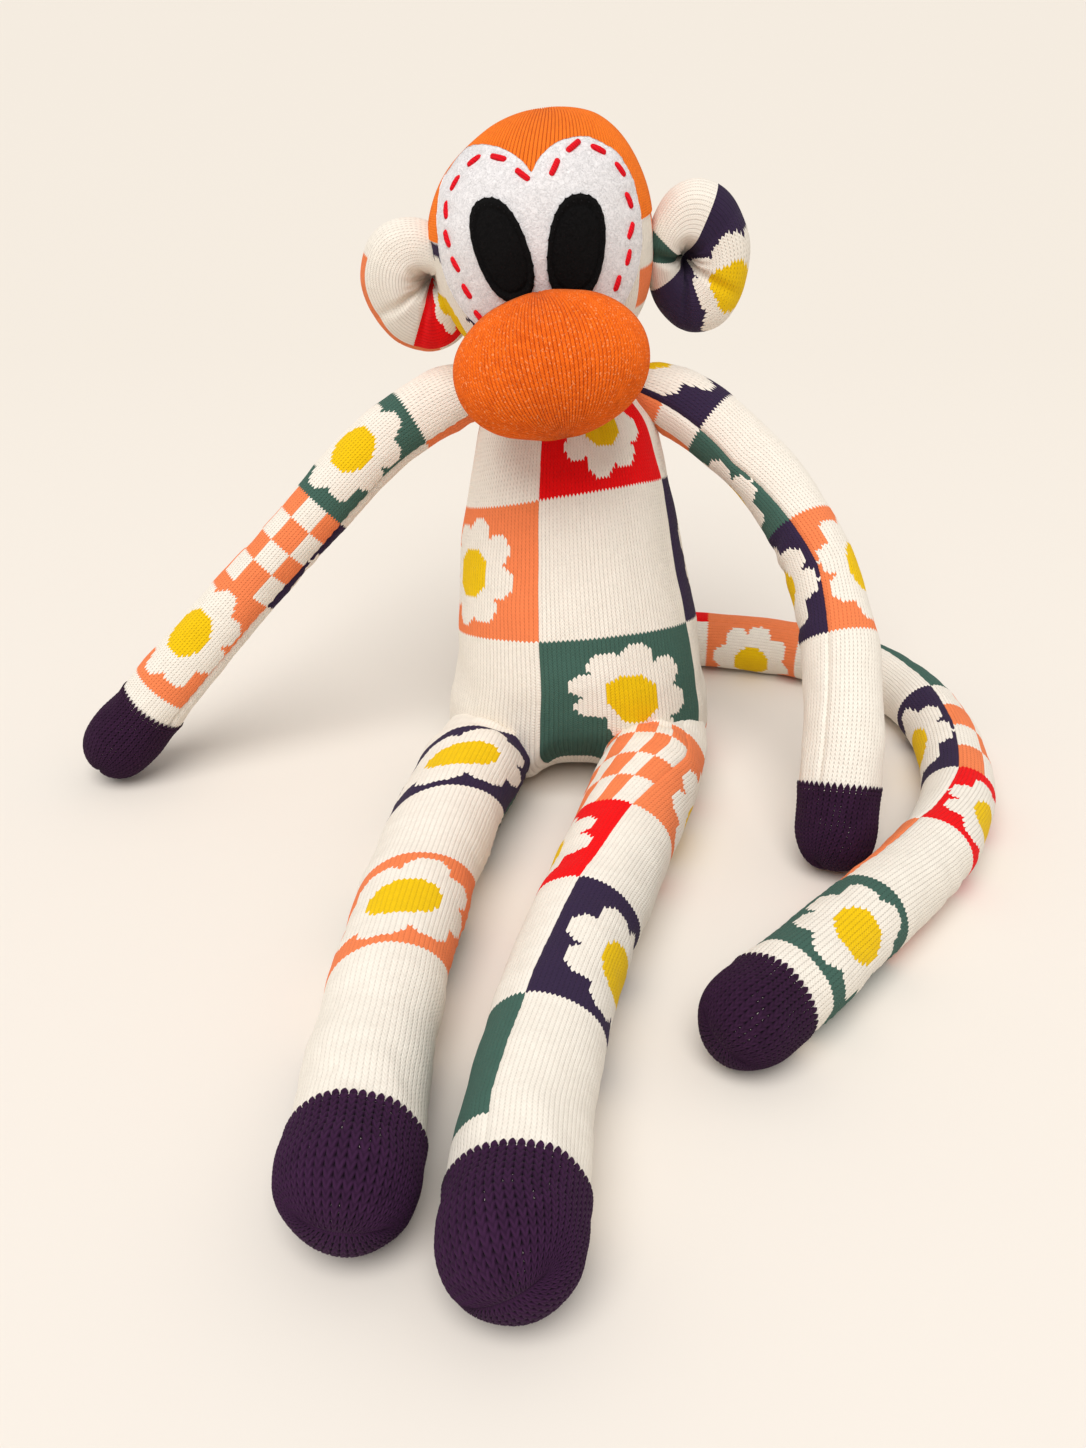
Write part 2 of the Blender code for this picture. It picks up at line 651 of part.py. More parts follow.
def make_face(nod, tools):
    muzzle = finish(muzzle_form(), "muzzle", YARN_ORANGE, nod)
    cut(muzzle, tools["skin"])
    mask = finish(face_prism(mask_outline()), "face_mask", FELT_WHITE, nod)
    cut(mask, tools["mask"], "INTERSECT")
    cut(mask, tools["skin"])
    cut(mask, tools["muzzle"])
    for side in SIDES:
        eye = finish(face_prism(eye_outline(side)), side + "_eye", FELT_BLACK, nod)
        cut(eye, tools["eye"], "INTERSECT")
        cut(eye, tools["eye_floor"])
        cut(eye, tools["muzzle"])


def make_ear(side, nod, tools):
    seam = SIDES[side] * HEAD_WIDTH / 2 * egg_radius(EAR_DOWN[side] / JAW_HEIGHT, JAW_FULLNESS)
    place = head_frame() @ Vector((seam, EAR_BACK, -EAR_DOWN[side]))
    axis = (head_tilt() @ UP) * SIDES[side]
    flap = pivot(side + "_ear_pivot", place, axis, nod)
    root = finish(ear_form(side), side + "_ear_root", YARN_PATTERNED, flap)
    cut(root, tools["ear_root"], "INTERSECT")
    cut(root, tools["skin"])
    body = finish(ear_form(side), side + "_ear", YARN_PATTERNED, flap)
    cut(body, tools["ear"])


def arm_limb(side):
    root = torso_middle(TORSO_HEIGHT - ARM_ROOT_DROP)
    root += TO_LEFT * (SIDES[side] * ARM_OUT[side]) - FORWARD * ARM_ROOT_BACK
    widths = ARM_WIDTH_SHARES[side]
    return Limb(root, ARM_LENGTH[side], ARM_HEADING_SHARES[side], ARM_WIDTH, widths, ARM_SIDES, False)


def make_arm(side, torso_tool):
    limb = arm_limb(side)
    shoulder_end = SHOULDER_AXIS + fold_reach(limb.radius(SHOULDER_AXIS), SHOULDER_ANGLE)
    elbow = ELBOW_SHARE * limb.length
    elbow_reach = fold_reach(limb.radius(elbow), ELBOW_ANGLE)
    wrist = limb.length - HAND_LENGTH[side]
    swing_axis = bend_axis(limb, SHOULDER_AXIS, heading_vector(0.0, REACH_ANGLE))
    swing = pivot(side + "_shoulder_pivot", limb.point(SHOULDER_AXIS), swing_axis)
    fold_axis = bend_axis(limb, elbow, FORWARD) * -SIDES[side]
    bend = pivot(side + "_elbow_pivot", limb.point(elbow), fold_axis, swing)
    shoulder = finish(limb.piece(0.0, shoulder_end - GAP / 2), side + "_shoulder_fold", YARN_PATTERNED, swing)
    cut(shoulder, torso_tool)
    upper = limb.piece(shoulder_end + GAP / 2, elbow - elbow_reach - GAP / 2)
    finish(upper, side + "_upper_arm", YARN_PATTERNED, swing)
    fold = limb.piece(elbow - elbow_reach + GAP / 2, elbow + elbow_reach - GAP / 2)
    finish(fold, side + "_elbow_fold", YARN_PATTERNED, bend)
    lower = limb.piece(elbow + elbow_reach + GAP / 2, wrist - GAP / 2)
    finish(lower, side + "_forearm", YARN_PATTERNED, bend)
    finish(limb.piece(wrist + GAP / 2), side + "_hand", YARN_PURPLE, bend)


def make_leg(side):
    limb = leg_limb(side)
    hip_end = hip_height() + HIP_SPARE
    knee = KNEE_SHARE * limb.length
    knee_reach = fold_reach(limb.radius(knee), KNEE_ANGLE)
    ankle = limb.length - FOOT_LENGTH[side]
    swing = pivot(side + "_hip_pivot", limb.point(0.0), TO_LEFT)
    bend = pivot(side + "_knee_pivot", limb.point(knee), -bend_axis(limb, knee, UP), swing)
    hip = limb.piece(-OVERRUN, hip_end - GAP / 2)
    keep_front(hip, HIP_FORWARD + GAP)
    finish(hip, side + "_hip_fold", YARN_PATTERNED, swing)
    thigh = limb.piece(hip_end + GAP / 2, knee - knee_reach - GAP / 2)
    finish(thigh, side + "_thigh", YARN_PATTERNED, swing)
    fold = limb.piece(knee - knee_reach + GAP / 2, knee + knee_reach - GAP / 2)
    finish(fold, side + "_knee_fold", YARN_PATTERNED, bend)
    shin = limb.piece(knee + knee_reach + GAP / 2, ankle - GAP / 2)
    finish(shin, side + "_shin", YARN_PATTERNED, bend)
    finish(limb.piece(ankle + GAP / 2), side + "_foot", YARN_PURPLE, bend)


def make_tail(torso_tool):
    height = TAIL_WIDTH * TAIL_WIDTH_SHARES[0][1] / 2
    back = torso_back(height) - TAIL_ROOT_DEPTH
    root = Vector((TAIL_ROOT_OUT, back, height))
    limb = Limb(root, TAIL_LENGTH, TAIL_HEADING_SHARES, TAIL_WIDTH, TAIL_WIDTH_SHARES, TAIL_SIDES, True)
    swing = pivot("tail_root_pivot", limb.point(TAIL_ROOT_AXIS), UP)
    root_end = TAIL_ROOT_AXIS + fold_reach(limb.radius(TAIL_ROOT_AXIS), TAIL_ROOT_ANGLE)
    root_fold = finish(limb.piece(0.0, root_end - GAP / 2), "tail_root_fold", YARN_PATTERNED, swing)
    cut(root_fold, torso_tool)
    start = root_end
    carrier = swing
    names = list(TAIL_FOLD_SHARES) + ["end"]
    for name, after in zip(names, names[1:]):
        middle = TAIL_FOLD_SHARES[name] * limb.length
        reach = fold_reach(limb.radius(middle), TAIL_ANGLE)
        finish(limb.piece(start + GAP / 2, middle - reach - GAP / 2), "tail_" + name, YARN_PATTERNED, carrier)
        turn = pivot("tail_" + after + "_pivot", limb.point(middle), UP, carrier)
        fold = limb.piece(middle - reach + GAP / 2, middle + reach - GAP / 2)
        finish(fold, "tail_" + name + "_fold", YARN_PATTERNED, turn)
        start = middle + reach
        carrier = turn
    tip = limb.length - TAIL_TIP_LENGTH
    finish(limb.piece(start + GAP / 2, tip - GAP / 2), "tail_end", YARN_PATTERNED, carrier)
    finish(limb.piece(tip + GAP / 2), "tail_tip", YARN_PURPLE, carrier)


def main():
    clear_scene()
    make_torso()
    torso_tool = hide_as_tool(finish(torso_form(GAP), "torso_skin", None))
    nod = make_neck()
    make_head(nod)
    tools = make_head_tools()
    make_face(nod, tools)
    for side in SIDES:
        make_ear(side, nod, tools)
        make_arm(side, torso_tool)
        make_leg(side)
    make_tail(torso_tool)


main()
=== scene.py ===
# %% [markdown]
# # A sock monkey, dressed
#
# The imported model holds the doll's stuffed solids and its joints. This lesson sews the cloth around them.
# A sock monkey is made of one pair of knee socks: every piece of it is a knitted tube, stuffed and
# gathered. So nearly every piece here starts the same way, as a flat sheet of cloth rolled up into a tube.
# The doll faces -Y, +Z is up, and left and right are the doll's own. Lengths are in metres.

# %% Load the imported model
import math

import bmesh
import bpy
import numpy as np
from mathutils import Matrix, Vector

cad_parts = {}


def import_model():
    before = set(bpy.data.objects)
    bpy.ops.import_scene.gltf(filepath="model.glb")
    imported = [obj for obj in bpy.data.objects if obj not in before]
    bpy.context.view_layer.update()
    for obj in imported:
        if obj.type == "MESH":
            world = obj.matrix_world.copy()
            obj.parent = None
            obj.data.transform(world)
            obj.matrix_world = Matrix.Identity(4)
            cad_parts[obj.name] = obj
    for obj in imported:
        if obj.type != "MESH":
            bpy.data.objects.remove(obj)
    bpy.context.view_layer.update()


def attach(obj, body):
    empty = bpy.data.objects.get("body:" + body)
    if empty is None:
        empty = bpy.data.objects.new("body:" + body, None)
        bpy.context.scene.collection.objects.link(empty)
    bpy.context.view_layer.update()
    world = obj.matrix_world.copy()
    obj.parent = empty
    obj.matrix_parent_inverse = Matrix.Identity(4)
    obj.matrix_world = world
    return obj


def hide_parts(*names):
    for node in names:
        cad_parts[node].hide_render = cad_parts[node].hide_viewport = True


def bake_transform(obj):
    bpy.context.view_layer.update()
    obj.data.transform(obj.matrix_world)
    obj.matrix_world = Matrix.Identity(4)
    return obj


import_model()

# %% Helpers used all through
FULL_TURN = 2 * math.pi


def put_in_scene(name, data):
    thing = bpy.data.objects.new(name, data)
    bpy.context.scene.collection.objects.link(thing)
    return thing


def mesh_of(bm, name):
    mesh = bpy.data.meshes.new(name)
    bm.to_mesh(mesh)
    bm.free()
    return mesh


def places_of(mesh):
    """The places of a mesh's points, one row for each."""
    flat = np.zeros(len(mesh.vertices) * 3, np.float32)
    mesh.vertices.foreach_get("co", flat)
    return flat.reshape(-1, 3).astype(float)


def unit(rows):
    """Each row of an array made one long."""
    return rows / np.maximum(np.linalg.norm(rows, axis=-1), 1e-9)[..., None]


def wrapped(angle):
    """The same angle between minus and plus half a turn."""
    return np.mod(angle + math.pi, FULL_TURN) - math.pi


def turning(degrees, axis):
    return np.array(Matrix.Rotation(math.radians(degrees), 3, axis))


print("helpers ready")

# %% [markdown]
# The doll was photographed from a little above, with a lens of about 35 mm on a 36 mm sensor. The picture
# stands upright, so the sensor's 36 mm is the height of the picture. The camera looks 30 degrees down.

# %% Camera
lens = bpy.data.cameras.new("photo_camera")
lens.lens = 34.807
lens.sensor_width = 36.0
lens.clip_start = 0.01
camera = put_in_scene("photo_camera", lens)
camera.location = (-0.014, -0.485, 0.290)
camera.rotation_euler = (math.radians(60.0), 0.0, 0.0)
bpy.context.scene.camera = camera
bpy.context.scene.view_settings.view_transform = "Standard"
print("camera", tuple(round(x, 3) for x in camera.location))

# %% [markdown]
# The finishes come as shader nodes. A small helper keeps the node code short: it adds a node with its
# values, and lets plain arithmetic stand for Math nodes, so that a rule reads as a formula.

# %% Node helpers
class Value:
    """A number of a node tree that can be added, multiplied and compared. Each sum adds a Math node."""

    def __init__(self, nodes, socket):
        self.nodes, self.socket = nodes, socket

    def do(self, operation, other=None):
        return self.nodes.math(operation, self, other)

    def __add__(self, other):
        return self.do("ADD", other)

    def __sub__(self, other):
        return self.do("SUBTRACT", other)

    def __rsub__(self, other):
        return self.nodes.math("SUBTRACT", other, self)

    def __mul__(self, other):
        return self.do("MULTIPLY", other)

    def __truediv__(self, other):
        return self.do("DIVIDE", other)

    def __lt__(self, other):
        return self.do("LESS_THAN", other)

    def __gt__(self, other):
        return self.do("GREATER_THAN", other)


class Nodes:
    """Adds and links the nodes of one tree."""

    def __init__(self, tree):
        self.tree = tree

    def add(self, kind, **settings):
        """Adds a node. Settings in capitals are its inputs, and the others its own properties."""
        node = self.tree.nodes.new(kind)
        for key, value in settings.items():
            if key[0].isupper():
                self.join(value, node.inputs[key.replace("_", " ")])
            else:
                setattr(node, key, value)
        return node

    def join(self, value, socket):
        if isinstance(value, Value):
            value = value.socket
        if isinstance(value, bpy.types.NodeSocket):
            self.tree.links.new(value, socket)
        elif value is not None:
            socket.default_value = value

    def math(self, operation, a, b=None):
        node = self.add("ShaderNodeMath", operation=operation)
        self.join(a, node.inputs[0])
        self.join(b, node.inputs[1])
        return Value(self, node.outputs[0])

    def mix(self, share, a, b, blend="MIX"):
        node = self.add("ShaderNodeMix", data_type="RGBA", blend_type=blend)
        for value, index in ((share, 0), (a, 6), (b, 7)):
            self.join(value, node.inputs[index])
        return node.outputs[2]

    def join_xyz(self, x, y):
        return self.add("ShaderNodeCombineXYZ", X=x, Y=y).outputs[0]

    def split(self, vector):
        return [Value(self, socket) for socket in self.add("ShaderNodeSeparateXYZ", Vector=vector).outputs]

    def object_place(self):
        return self.add("ShaderNodeTexCoord").outputs["Object"]

    def noise(self, **inputs):
        node = self.add("ShaderNodeTexNoise", Vector=self.object_place(), **inputs)
        return Value(self, node.outputs["Fac"])

    def ramp(self, value, low, high):
        """0 below low, 1 above high and even between them."""
        return self.add("ShaderNodeMapRange", Value=value, From_Min=low, From_Max=high).outputs[0]

    def raise_by(self, shader, height, distance, strength):
        bump = self.add("ShaderNodeBump", Height=height, Distance=distance, Strength=strength)
        self.join(bump.outputs[0], shader.inputs["Normal"])

    def group(self, tree, **inputs):
        """A group in this tree: its results by name."""
        node = self.add("ShaderNodeGroup", node_tree=tree, **inputs)
        return {socket.name: Value(self, socket) for socket in node.outputs}


def new_group(name, inputs, outputs):
    """A node group. Its UV and Loop sockets are vectors and the others are numbers."""
    tree = bpy.data.node_groups.new(name, "ShaderNodeTree")
    for way, labels in (("INPUT", inputs), ("OUTPUT", outputs)):
        for label in labels:
            kind = "NodeSocketVector" if label in ("UV", "Loop") else "NodeSocketFloat"
            socket = tree.interface.new_socket(name=label, in_out=way, socket_type=kind)
            if way == "INPUT" and inputs[label] is not None:
                socket.default_value = inputs[label]
    nodes = Nodes(tree)
    given = {socket.name: Value(nodes, socket) for socket in nodes.add("NodeGroupInput").outputs}
    return nodes, given, nodes.add("NodeGroupOutput").inputs


def new_material(name):
    material = bpy.data.materials.new(name)
    material.use_nodes = True
    return material, Nodes(material.node_tree), material.node_tree.nodes["Principled BSDF"]


def soft_cloth(shader, roughness=0.9, sheen=0.03):
    shader.inputs["Roughness"].default_value = roughness
    shader.inputs["Specular IOR Level"].default_value = 0.12
    shader.inputs["Sheen Weight"].default_value = sheen
    shader.inputs["Sheen Roughness"].default_value = 0.5


print("node helpers ready")

# %% [markdown]
# The real studio is a sweep of cream paper under big soft lamps. One large disc does for the paper, because
# the camera never sees its edge. The light is an even pale sky and one soft lamp in front and above.
# Together they show a surface in about its own colour, which keeps the colours below as they are written.

# %% Floor, sky and lamp
SKY_LEVEL = 0.56
SUN_LEVEL = 0.62


def paper_floor():
    bm = bmesh.new()
    bmesh.ops.create_circle(bm, cap_ends=True, segments=96, radius=9.0)
    mesh = mesh_of(bm, "paper_floor")
    paper, nodes, shader = new_material("cream_paper")
    _, depth, _ = nodes.split(nodes.object_place())
    # Painted shade: the one cream paper is coloured darker towards the back, where less light reaches it.
    near, far = (0.832, 0.770, 0.698, 1.0), (0.785, 0.725, 0.648, 1.0)
    nodes.join(nodes.mix(nodes.ramp(depth, -0.30, 0.60), near, far), shader.inputs["Base Color"])
    shader.inputs["Roughness"].default_value = 0.9
    shader.inputs["Specular IOR Level"].default_value = 0.1
    mesh.materials.append(paper)
    put_in_scene("paper_floor", mesh)


def light_the_studio():
    world = bpy.data.worlds.new("studio_sky")
    world.use_nodes = True
    nodes = Nodes(world.node_tree)
    sky = world.node_tree.nodes["Background"]
    sky.inputs["Color"].default_value = (1.0, 0.985, 0.965, 1.0)
    sky.inputs["Strength"].default_value = SKY_LEVEL
    shown = nodes.add("ShaderNodeBackground", Color=(0.905, 0.840, 0.755, 1.0))
    either = nodes.add("ShaderNodeMixShader")
    seen = nodes.add("ShaderNodeLightPath").outputs["Is Camera Ray"]
    for socket, value in zip(either.inputs, (seen, sky.outputs[0], shown.outputs[0])):
        nodes.join(value, socket)
    nodes.join(either.outputs[0], world.node_tree.nodes["World Output"].inputs["Surface"])
    bpy.context.scene.world = world
    data = bpy.data.lights.new("soft_lamp", "SUN")
    data.angle = math.radians(48.0)
    fall = Vector((0.13, 0.47, -0.86)).normalized()
    data.energy = SUN_LEVEL * math.pi / -fall.z
    put_in_scene("soft_lamp", data).rotation_euler = fall.to_track_quat("-Z", "Y").to_euler()


paper_floor()
light_the_studio()
print("sky", SKY_LEVEL, "sun", SUN_LEVEL)

# %% [markdown]
# Widths, headings and outlines are written as short tables of shares, the same ones that the solids were
# drawn from. A table is read with a smooth curve through its rows, so that no ring of cloth shows a kink.

# %% Read a table smoothly
TORSO_HEIGHT, TORSO_WIDTH, TORSO_DEPTH = 0.1415, 0.099, 0.076


def read_smooth(places, table, column=1):
    """Values of one column of a table at an array of places, on a smooth curve that doesn't overshoot."""
    x = np.array([row[0] for row in table], float)
    y = np.array([row[column] for row in table], float)
    slope = np.diff(y) / np.diff(x)
    tangent = np.zeros(len(x))
    tangent[0], tangent[-1] = slope[0], slope[-1]
    for i in range(1, len(x) - 1):
        if slope[i - 1] * slope[i] > 0:
            tangent[i] = 2.0 / (1.0 / slope[i - 1] + 1.0 / slope[i])
    at = np.clip(places, x[0], x[-1])
    i = np.clip(np.searchsorted(x, at, side="right") - 1, 0, len(x) - 2)
    step = x[i + 1] - x[i]
    t = (at - x[i]) / step
    keep = (1 + 2 * t) * (1 - t) ** 2 * y[i] + t * t * (3 - 2 * t) * y[i + 1]
    turn = t * (1 - t) ** 2 * tangent[i] - t * t * (1 - t) * tangent[i + 1]
    return keep + turn * step


def egg_radius(away, fullness):
    """Radius of a unit egg at a share of the way from its middle to its end."""
    return (1.0 - np.clip(np.abs(away), 0.0, 1.0) ** fullness) ** (1.0 / fullness)


print("egg half way:", round(float(egg_radius(0.5, 2.3)), 3))

# %% [markdown]
# Polyester stuffing is never even: it makes soft lumps as wide as a fingertip. A few long waves added
# together, each in its own direction, give such lumps. They depend only on the place in space, so two
# pieces of cloth that meet have the same lump where they meet.

# %% Lumps of stuffing
def waves(points, size, seed, count=7):
    """Smooth noise from -1 to 1, about so many metres from lump to lump."""
    random = np.random.default_rng(seed)
    total = np.zeros(len(points))
    for _ in range(count):
        direction = random.normal(size=3)
        direction *= FULL_TURN / size / np.linalg.norm(direction) * random.uniform(0.7, 1.4)
        total += np.sin(points @ direction + random.uniform(0, FULL_TURN))
    return total / math.sqrt(count * 2.0) / 1.5


sample = waves(np.array([[0.0, 0.0, 0.0], [0.01, 0.0, 0.0], [0.02, 0.0, 0.0]]), 0.03, 1)
print("three lumps:", sample.round(2))

# %% [markdown]
# Now the roll of cloth itself. Blender's grid is the flat sheet, knitted and not yet sewn. Each of its
# points is carried to its place on the stuffed piece, and the two long edges are then sewn together by
# merging the points that meet. The sheet's UV map stays with it, so a pattern knitted into the flat sock
# goes round the finished limb as it does on the real one.

# %% Roll a sheet of cloth
def cloth_piece(name, columns, rows, place, knit, material, sharp=None):
    """A closed piece of rolled cloth. place and knit take arrays of shares across and along the sheet."""
    bm = bmesh.new()
    bm.loops.layers.uv.new("knit")
    bmesh.ops.create_grid(bm, x_segments=columns, y_segments=rows, size=0.5, calc_uvs=True)
    mesh = mesh_of(bm, name)
    flat = places_of(mesh)
    placed = place(flat[:, 0] + 0.5, flat[:, 1] + 0.5)
    mesh.vertices.foreach_set("co", placed.astype(np.float32).ravel())
    uv = np.zeros(len(mesh.loops) * 2)
    mesh.uv_layers["knit"].data.foreach_get("uv", uv)
    across, along = uv[0::2].copy(), uv[1::2].copy()
    uv[0::2], uv[1::2] = knit(across, along)
    mesh.uv_layers["knit"].data.foreach_set("uv", uv)
    sew_up(mesh)
    return finish_piece(name, mesh, material, sharp)


def sew_up(mesh):
    """Merges the long seam and closes the two ends, with a hard edge round each lid."""
    bm = bmesh.new()
    bm.from_mesh(mesh)
    bmesh.ops.remove_doubles(bm, verts=bm.verts, dist=2e-6)
    open_edges = [edge for edge in bm.edges if edge.is_boundary]
    if open_edges:
        for lid in bmesh.ops.holes_fill(bm, edges=open_edges, sides=0)["faces"]:
            for edge in lid.edges:
                edge.smooth = False
    bmesh.ops.dissolve_degenerate(bm, dist=1e-7, edges=bm.edges)
    bmesh.ops.recalc_face_normals(bm, faces=bm.faces)
    bm.to_mesh(mesh)
    bm.free()


def finish_piece(name, mesh, material, sharp):
    mesh.shade_smooth()
    if sharp:
        mesh.set_sharp_from_angle(angle=math.radians(sharp))
    mesh.materials.append(material)
    piece = put_in_scene(name, mesh)
    print(name, len(mesh.polygons), "faces")
    return piece


# %% [markdown]
# Knitting is columns of loops, called wales, and rows of loops, called courses. Seen from the front each
# loop is a small V, so a wale is two slanting legs. This group turns the UV map into that: it says which
# loop a point is on, how high the yarn stands there, and how deep it lies between two loops. Colours are
# read by loop and not by point, which gives a knitted pattern its stepped and toothed edges.

# %% Node group: one knitted loop
SLANT = 0.8


def make_loop_group():
    nodes, given, out = new_group(
        "knitted_loops",
        {"UV": None, "Wales": 36.0, "Courses": 38.0, "Slant": SLANT, "Open": 0.3},
        ("Loop", "Height", "Hollow", "Shade"),
    )
    u, v, _ = nodes.split(given["UV"])
    wale = u * given["Wales"]
    leg = (wale.do("FRACT") - 0.5).do("ABSOLUTE") * 2.0
    course = v * given["Courses"] + leg * given["Slant"]
    whole_wale, whole_course = wale.do("FLOOR"), course.do("FLOOR")
    loop_u = (whole_wale + 0.5) / given["Wales"]
    loop_v = (whole_course + 0.5) / given["Courses"]
    nodes.join(nodes.join_xyz(loop_u, loop_v), out["Loop"])
    across = (leg * math.pi).do("SINE").do("POWER", 0.6)
    along = (course.do("FRACT") * math.pi).do("SINE")
    yarn = across * (along * 0.45 + 0.55)
    bridge = (0.5 - (course * FULL_TURN).do("COSINE") * 0.5) * given["Open"]
    hollow = (1.0 - yarn) * (leg * 0.65 + 0.35) * (1.0 - bridge)
    nodes.join(1.0 - hollow, out["Height"])
    nodes.join(hollow, out["Hollow"])
    loop = nodes.join_xyz(whole_wale, whole_course)
    chance = nodes.add("ShaderNodeTexWhiteNoise", noise_dimensions="2D", Vector=loop)
    nodes.join(chance.outputs["Value"], out["Shade"])
    return nodes.tree


LOOPS = make_loop_group()
print("group", LOOPS.name, [socket.name for socket in LOOPS.interface.items_tree])

# %% [markdown]
# The socks carry a chequerboard of big blocks. A plain cream block follows a coloured one, and a coloured
# block holds a plain round daisy or small checks. The daisy here is drawn by rule: eight round petals
# about a round middle. This group gives the masks, from a place inside one block. Its lengths are shares
# of a block's height.

# %% Node group: daisy and checks
PETALS = 8
PETAL_OUT, PETAL_RADIUS = 0.31, 0.122
DAISY_INSIDE, DAISY_MIDDLE = 0.25, 0.19


def make_motif_group():
    nodes, given, out = new_group(
        "daisy_and_checks",
        {"Loop": None, "Checks": 4.0, "Across": 4.0, "Wide": 1.0},
        ("Petals", "Middle", "Checks"),
    )
    u, v, _ = nodes.split(given["Loop"])
    x = (u.do("FRACT") - 0.5) * given["Wide"]
    y = v.do("FRACT") - 0.5
    reach = (x * x + y * y).do("SQRT")
    fold = (y.do("ARCTAN2", x) + 0.2).do("PINGPONG", math.pi / PETALS)
    from_petal_x = reach * fold.do("COSINE") - PETAL_OUT
    from_petal_y = reach * fold.do("SINE")
    petal = (from_petal_x * from_petal_x + from_petal_y * from_petal_y).do("SQRT") < PETAL_RADIUS
    nodes.join(petal.do("MAXIMUM", reach < DAISY_INSIDE), out["Petals"])
    nodes.join(reach < DAISY_MIDDLE, out["Middle"])
    both = (u * given["Across"]).do("FLOOR") + (v * given["Checks"]).do("FLOOR")
    nodes.join(both.do("FLOORED_MODULO", 2.0), out["Checks"])
    return nodes.tree


MOTIFS = make_motif_group()
print("group", MOTIFS.name)

# %% [markdown]
# A pattern card says what a sock shows: one word for each column of blocks, one letter for each row, from
# the root of the limb to its end. Capitals are blocks with a daisy, and small letters are plain. The card
# becomes constant colour ramps, read by row, and the columns are then laid side by side.

# %% Yarn colours and pattern cards
CREAM = (0.918, 0.850, 0.748, 1.0)
PEACH = (0.930, 0.240, 0.085, 1.0)
TEAL = (0.058, 0.128, 0.100, 1.0)
NAVY = (0.036, 0.021, 0.056, 1.0)
RED = (0.900, 0.004, 0.006, 1.0)
YELLOW = (0.880, 0.560, 0.004, 1.0)
PURPLE = (0.043, 0.012, 0.045, 1.0)
YARNS = {"w": CREAM, "p": PEACH, "t": TEAL, "n": NAVY, "r": RED, "c": PEACH}
BLACK, WHITE = (0.0, 0.0, 0.0, 1.0), (1.0, 1.0, 1.0, 1.0)


def card_ramp(nodes, card, row, read):
    """A ramp of constant steps over the rows of one column of a pattern card."""
    ramp = nodes.add("ShaderNodeValToRGB")
    stops = ramp.color_ramp
    stops.interpolation = "CONSTANT"
    while len(stops.elements) < len(card):
        stops.elements.new(0.0)
    for index, letter in enumerate(card):
        stops.elements[index].position = index / len(card)
        stops.elements[index].color = read(letter)
    nodes.join((row.do("FLOOR") + 0.5) / float(len(card)), ramp.inputs[0])
    return ramp.outputs[0]


def sock_material(
    name, cards, wales=36.0, courses=38.0, checks=4.0, across=4.0, wide=1.0, hollow=0.30, high=0.0005
):
    """Fine knit in cream with the blocks of a pattern card. The UV map counts blocks."""
    material, nodes, shader = new_material(name)
    uv = nodes.add("ShaderNodeUVMap", uv_map="knit").outputs[0]
    loops = nodes.group(LOOPS, UV=uv, Wales=wales, Courses=courses, Open=0.7)
    motifs = nodes.group(MOTIFS, Loop=loops["Loop"], Checks=checks, Across=across, Wide=wide)
    column, row, _ = nodes.split(loops["Loop"])
    readers = (
        lambda letter: YARNS[letter.lower()],
        lambda letter: WHITE if letter.isupper() else BLACK,
        lambda letter: WHITE if letter == "c" else BLACK,
    )
    shown = None
    for index, card in enumerate(cards):
        parts = [card_ramp(nodes, card, row, read) for read in readers]
        here = column > float(index)
        shown = [nodes.mix(here, old, new) for old, new in zip(shown, parts)] if shown else parts
    colour, daisy, small = shown
    drawn = ((small, "Checks", CREAM), (daisy, "Petals", CREAM), (daisy, "Middle", YELLOW))
    for share, motif, yarn in drawn:
        colour = nodes.mix(nodes.math("MULTIPLY", share, motifs[motif]), colour, yarn)
    # Painted shade: the hollows between loops are darkened, by the share hollow.
    shade_hollows_and_vary_loops(nodes, shader, colour, loops, hollow, 0.16)
    nodes.raise_by(shader, loops["Height"], high, 0.8)
    soft_cloth(shader)
    return material


def shade_hollows_and_vary_loops(nodes, shader, colour, loops, hollow_share, shade_share, dark=(0.42, 0.37, 0.33, 1.0)):
    """Paints shade into the loops' hollows, and varies the yarn from loop to loop and over its length."""
    slub = nodes.noise(Scale=160.0, Detail=3.0)
    uneven = loops["Shade"] * slub * shade_share
    shade = nodes.mix(loops["Hollow"] * hollow_share + uneven, colour, dark, "MULTIPLY")
    nodes.join(shade, shader.inputs["Base Color"])


def cover_yarn(nodes, shader, share, colour):
    """Lays another colour over the yarn where share says so."""
    yarn = shader.inputs["Base Color"].links[0].from_socket
    nodes.join(nodes.mix(share, yarn, colour), shader.inputs["Base Color"])


def plain_knit(name, colour, height, hollow, shade, open_loops, dark, lining=0.0, lint=0.0):
    """One colour of knit for the toe and heel yarns. The UV map counts wales and courses.

    lining is the share of loops whose hole shows cream, and lint how strongly pale specks lie on the yarn.
    """
    material, nodes, shader = new_material(name)
    uv = nodes.add("ShaderNodeUVMap", uv_map="knit").outputs[0]
    loops = nodes.group(LOOPS, UV=uv, Wales=1.0, Courses=1.0, Open=open_loops)
    # Painted shade: the hollows between loops are darkened towards dark.
    shade_hollows_and_vary_loops(nodes, shader, colour, loops, hollow, shade, dark)
    if lining:
        cover_yarn(nodes, shader, (loops["Hollow"] > 0.72) * (loops["Shade"] < lining), CREAM)
    if lint:
        cover_yarn(nodes, shader, (nodes.noise(Scale=1300.0, Detail=1.0) > 0.65) * lint, PALE_LINT)
    nodes.raise_by(shader, loops["Height"], height, 0.8)
    soft_cloth(shader)
    return material


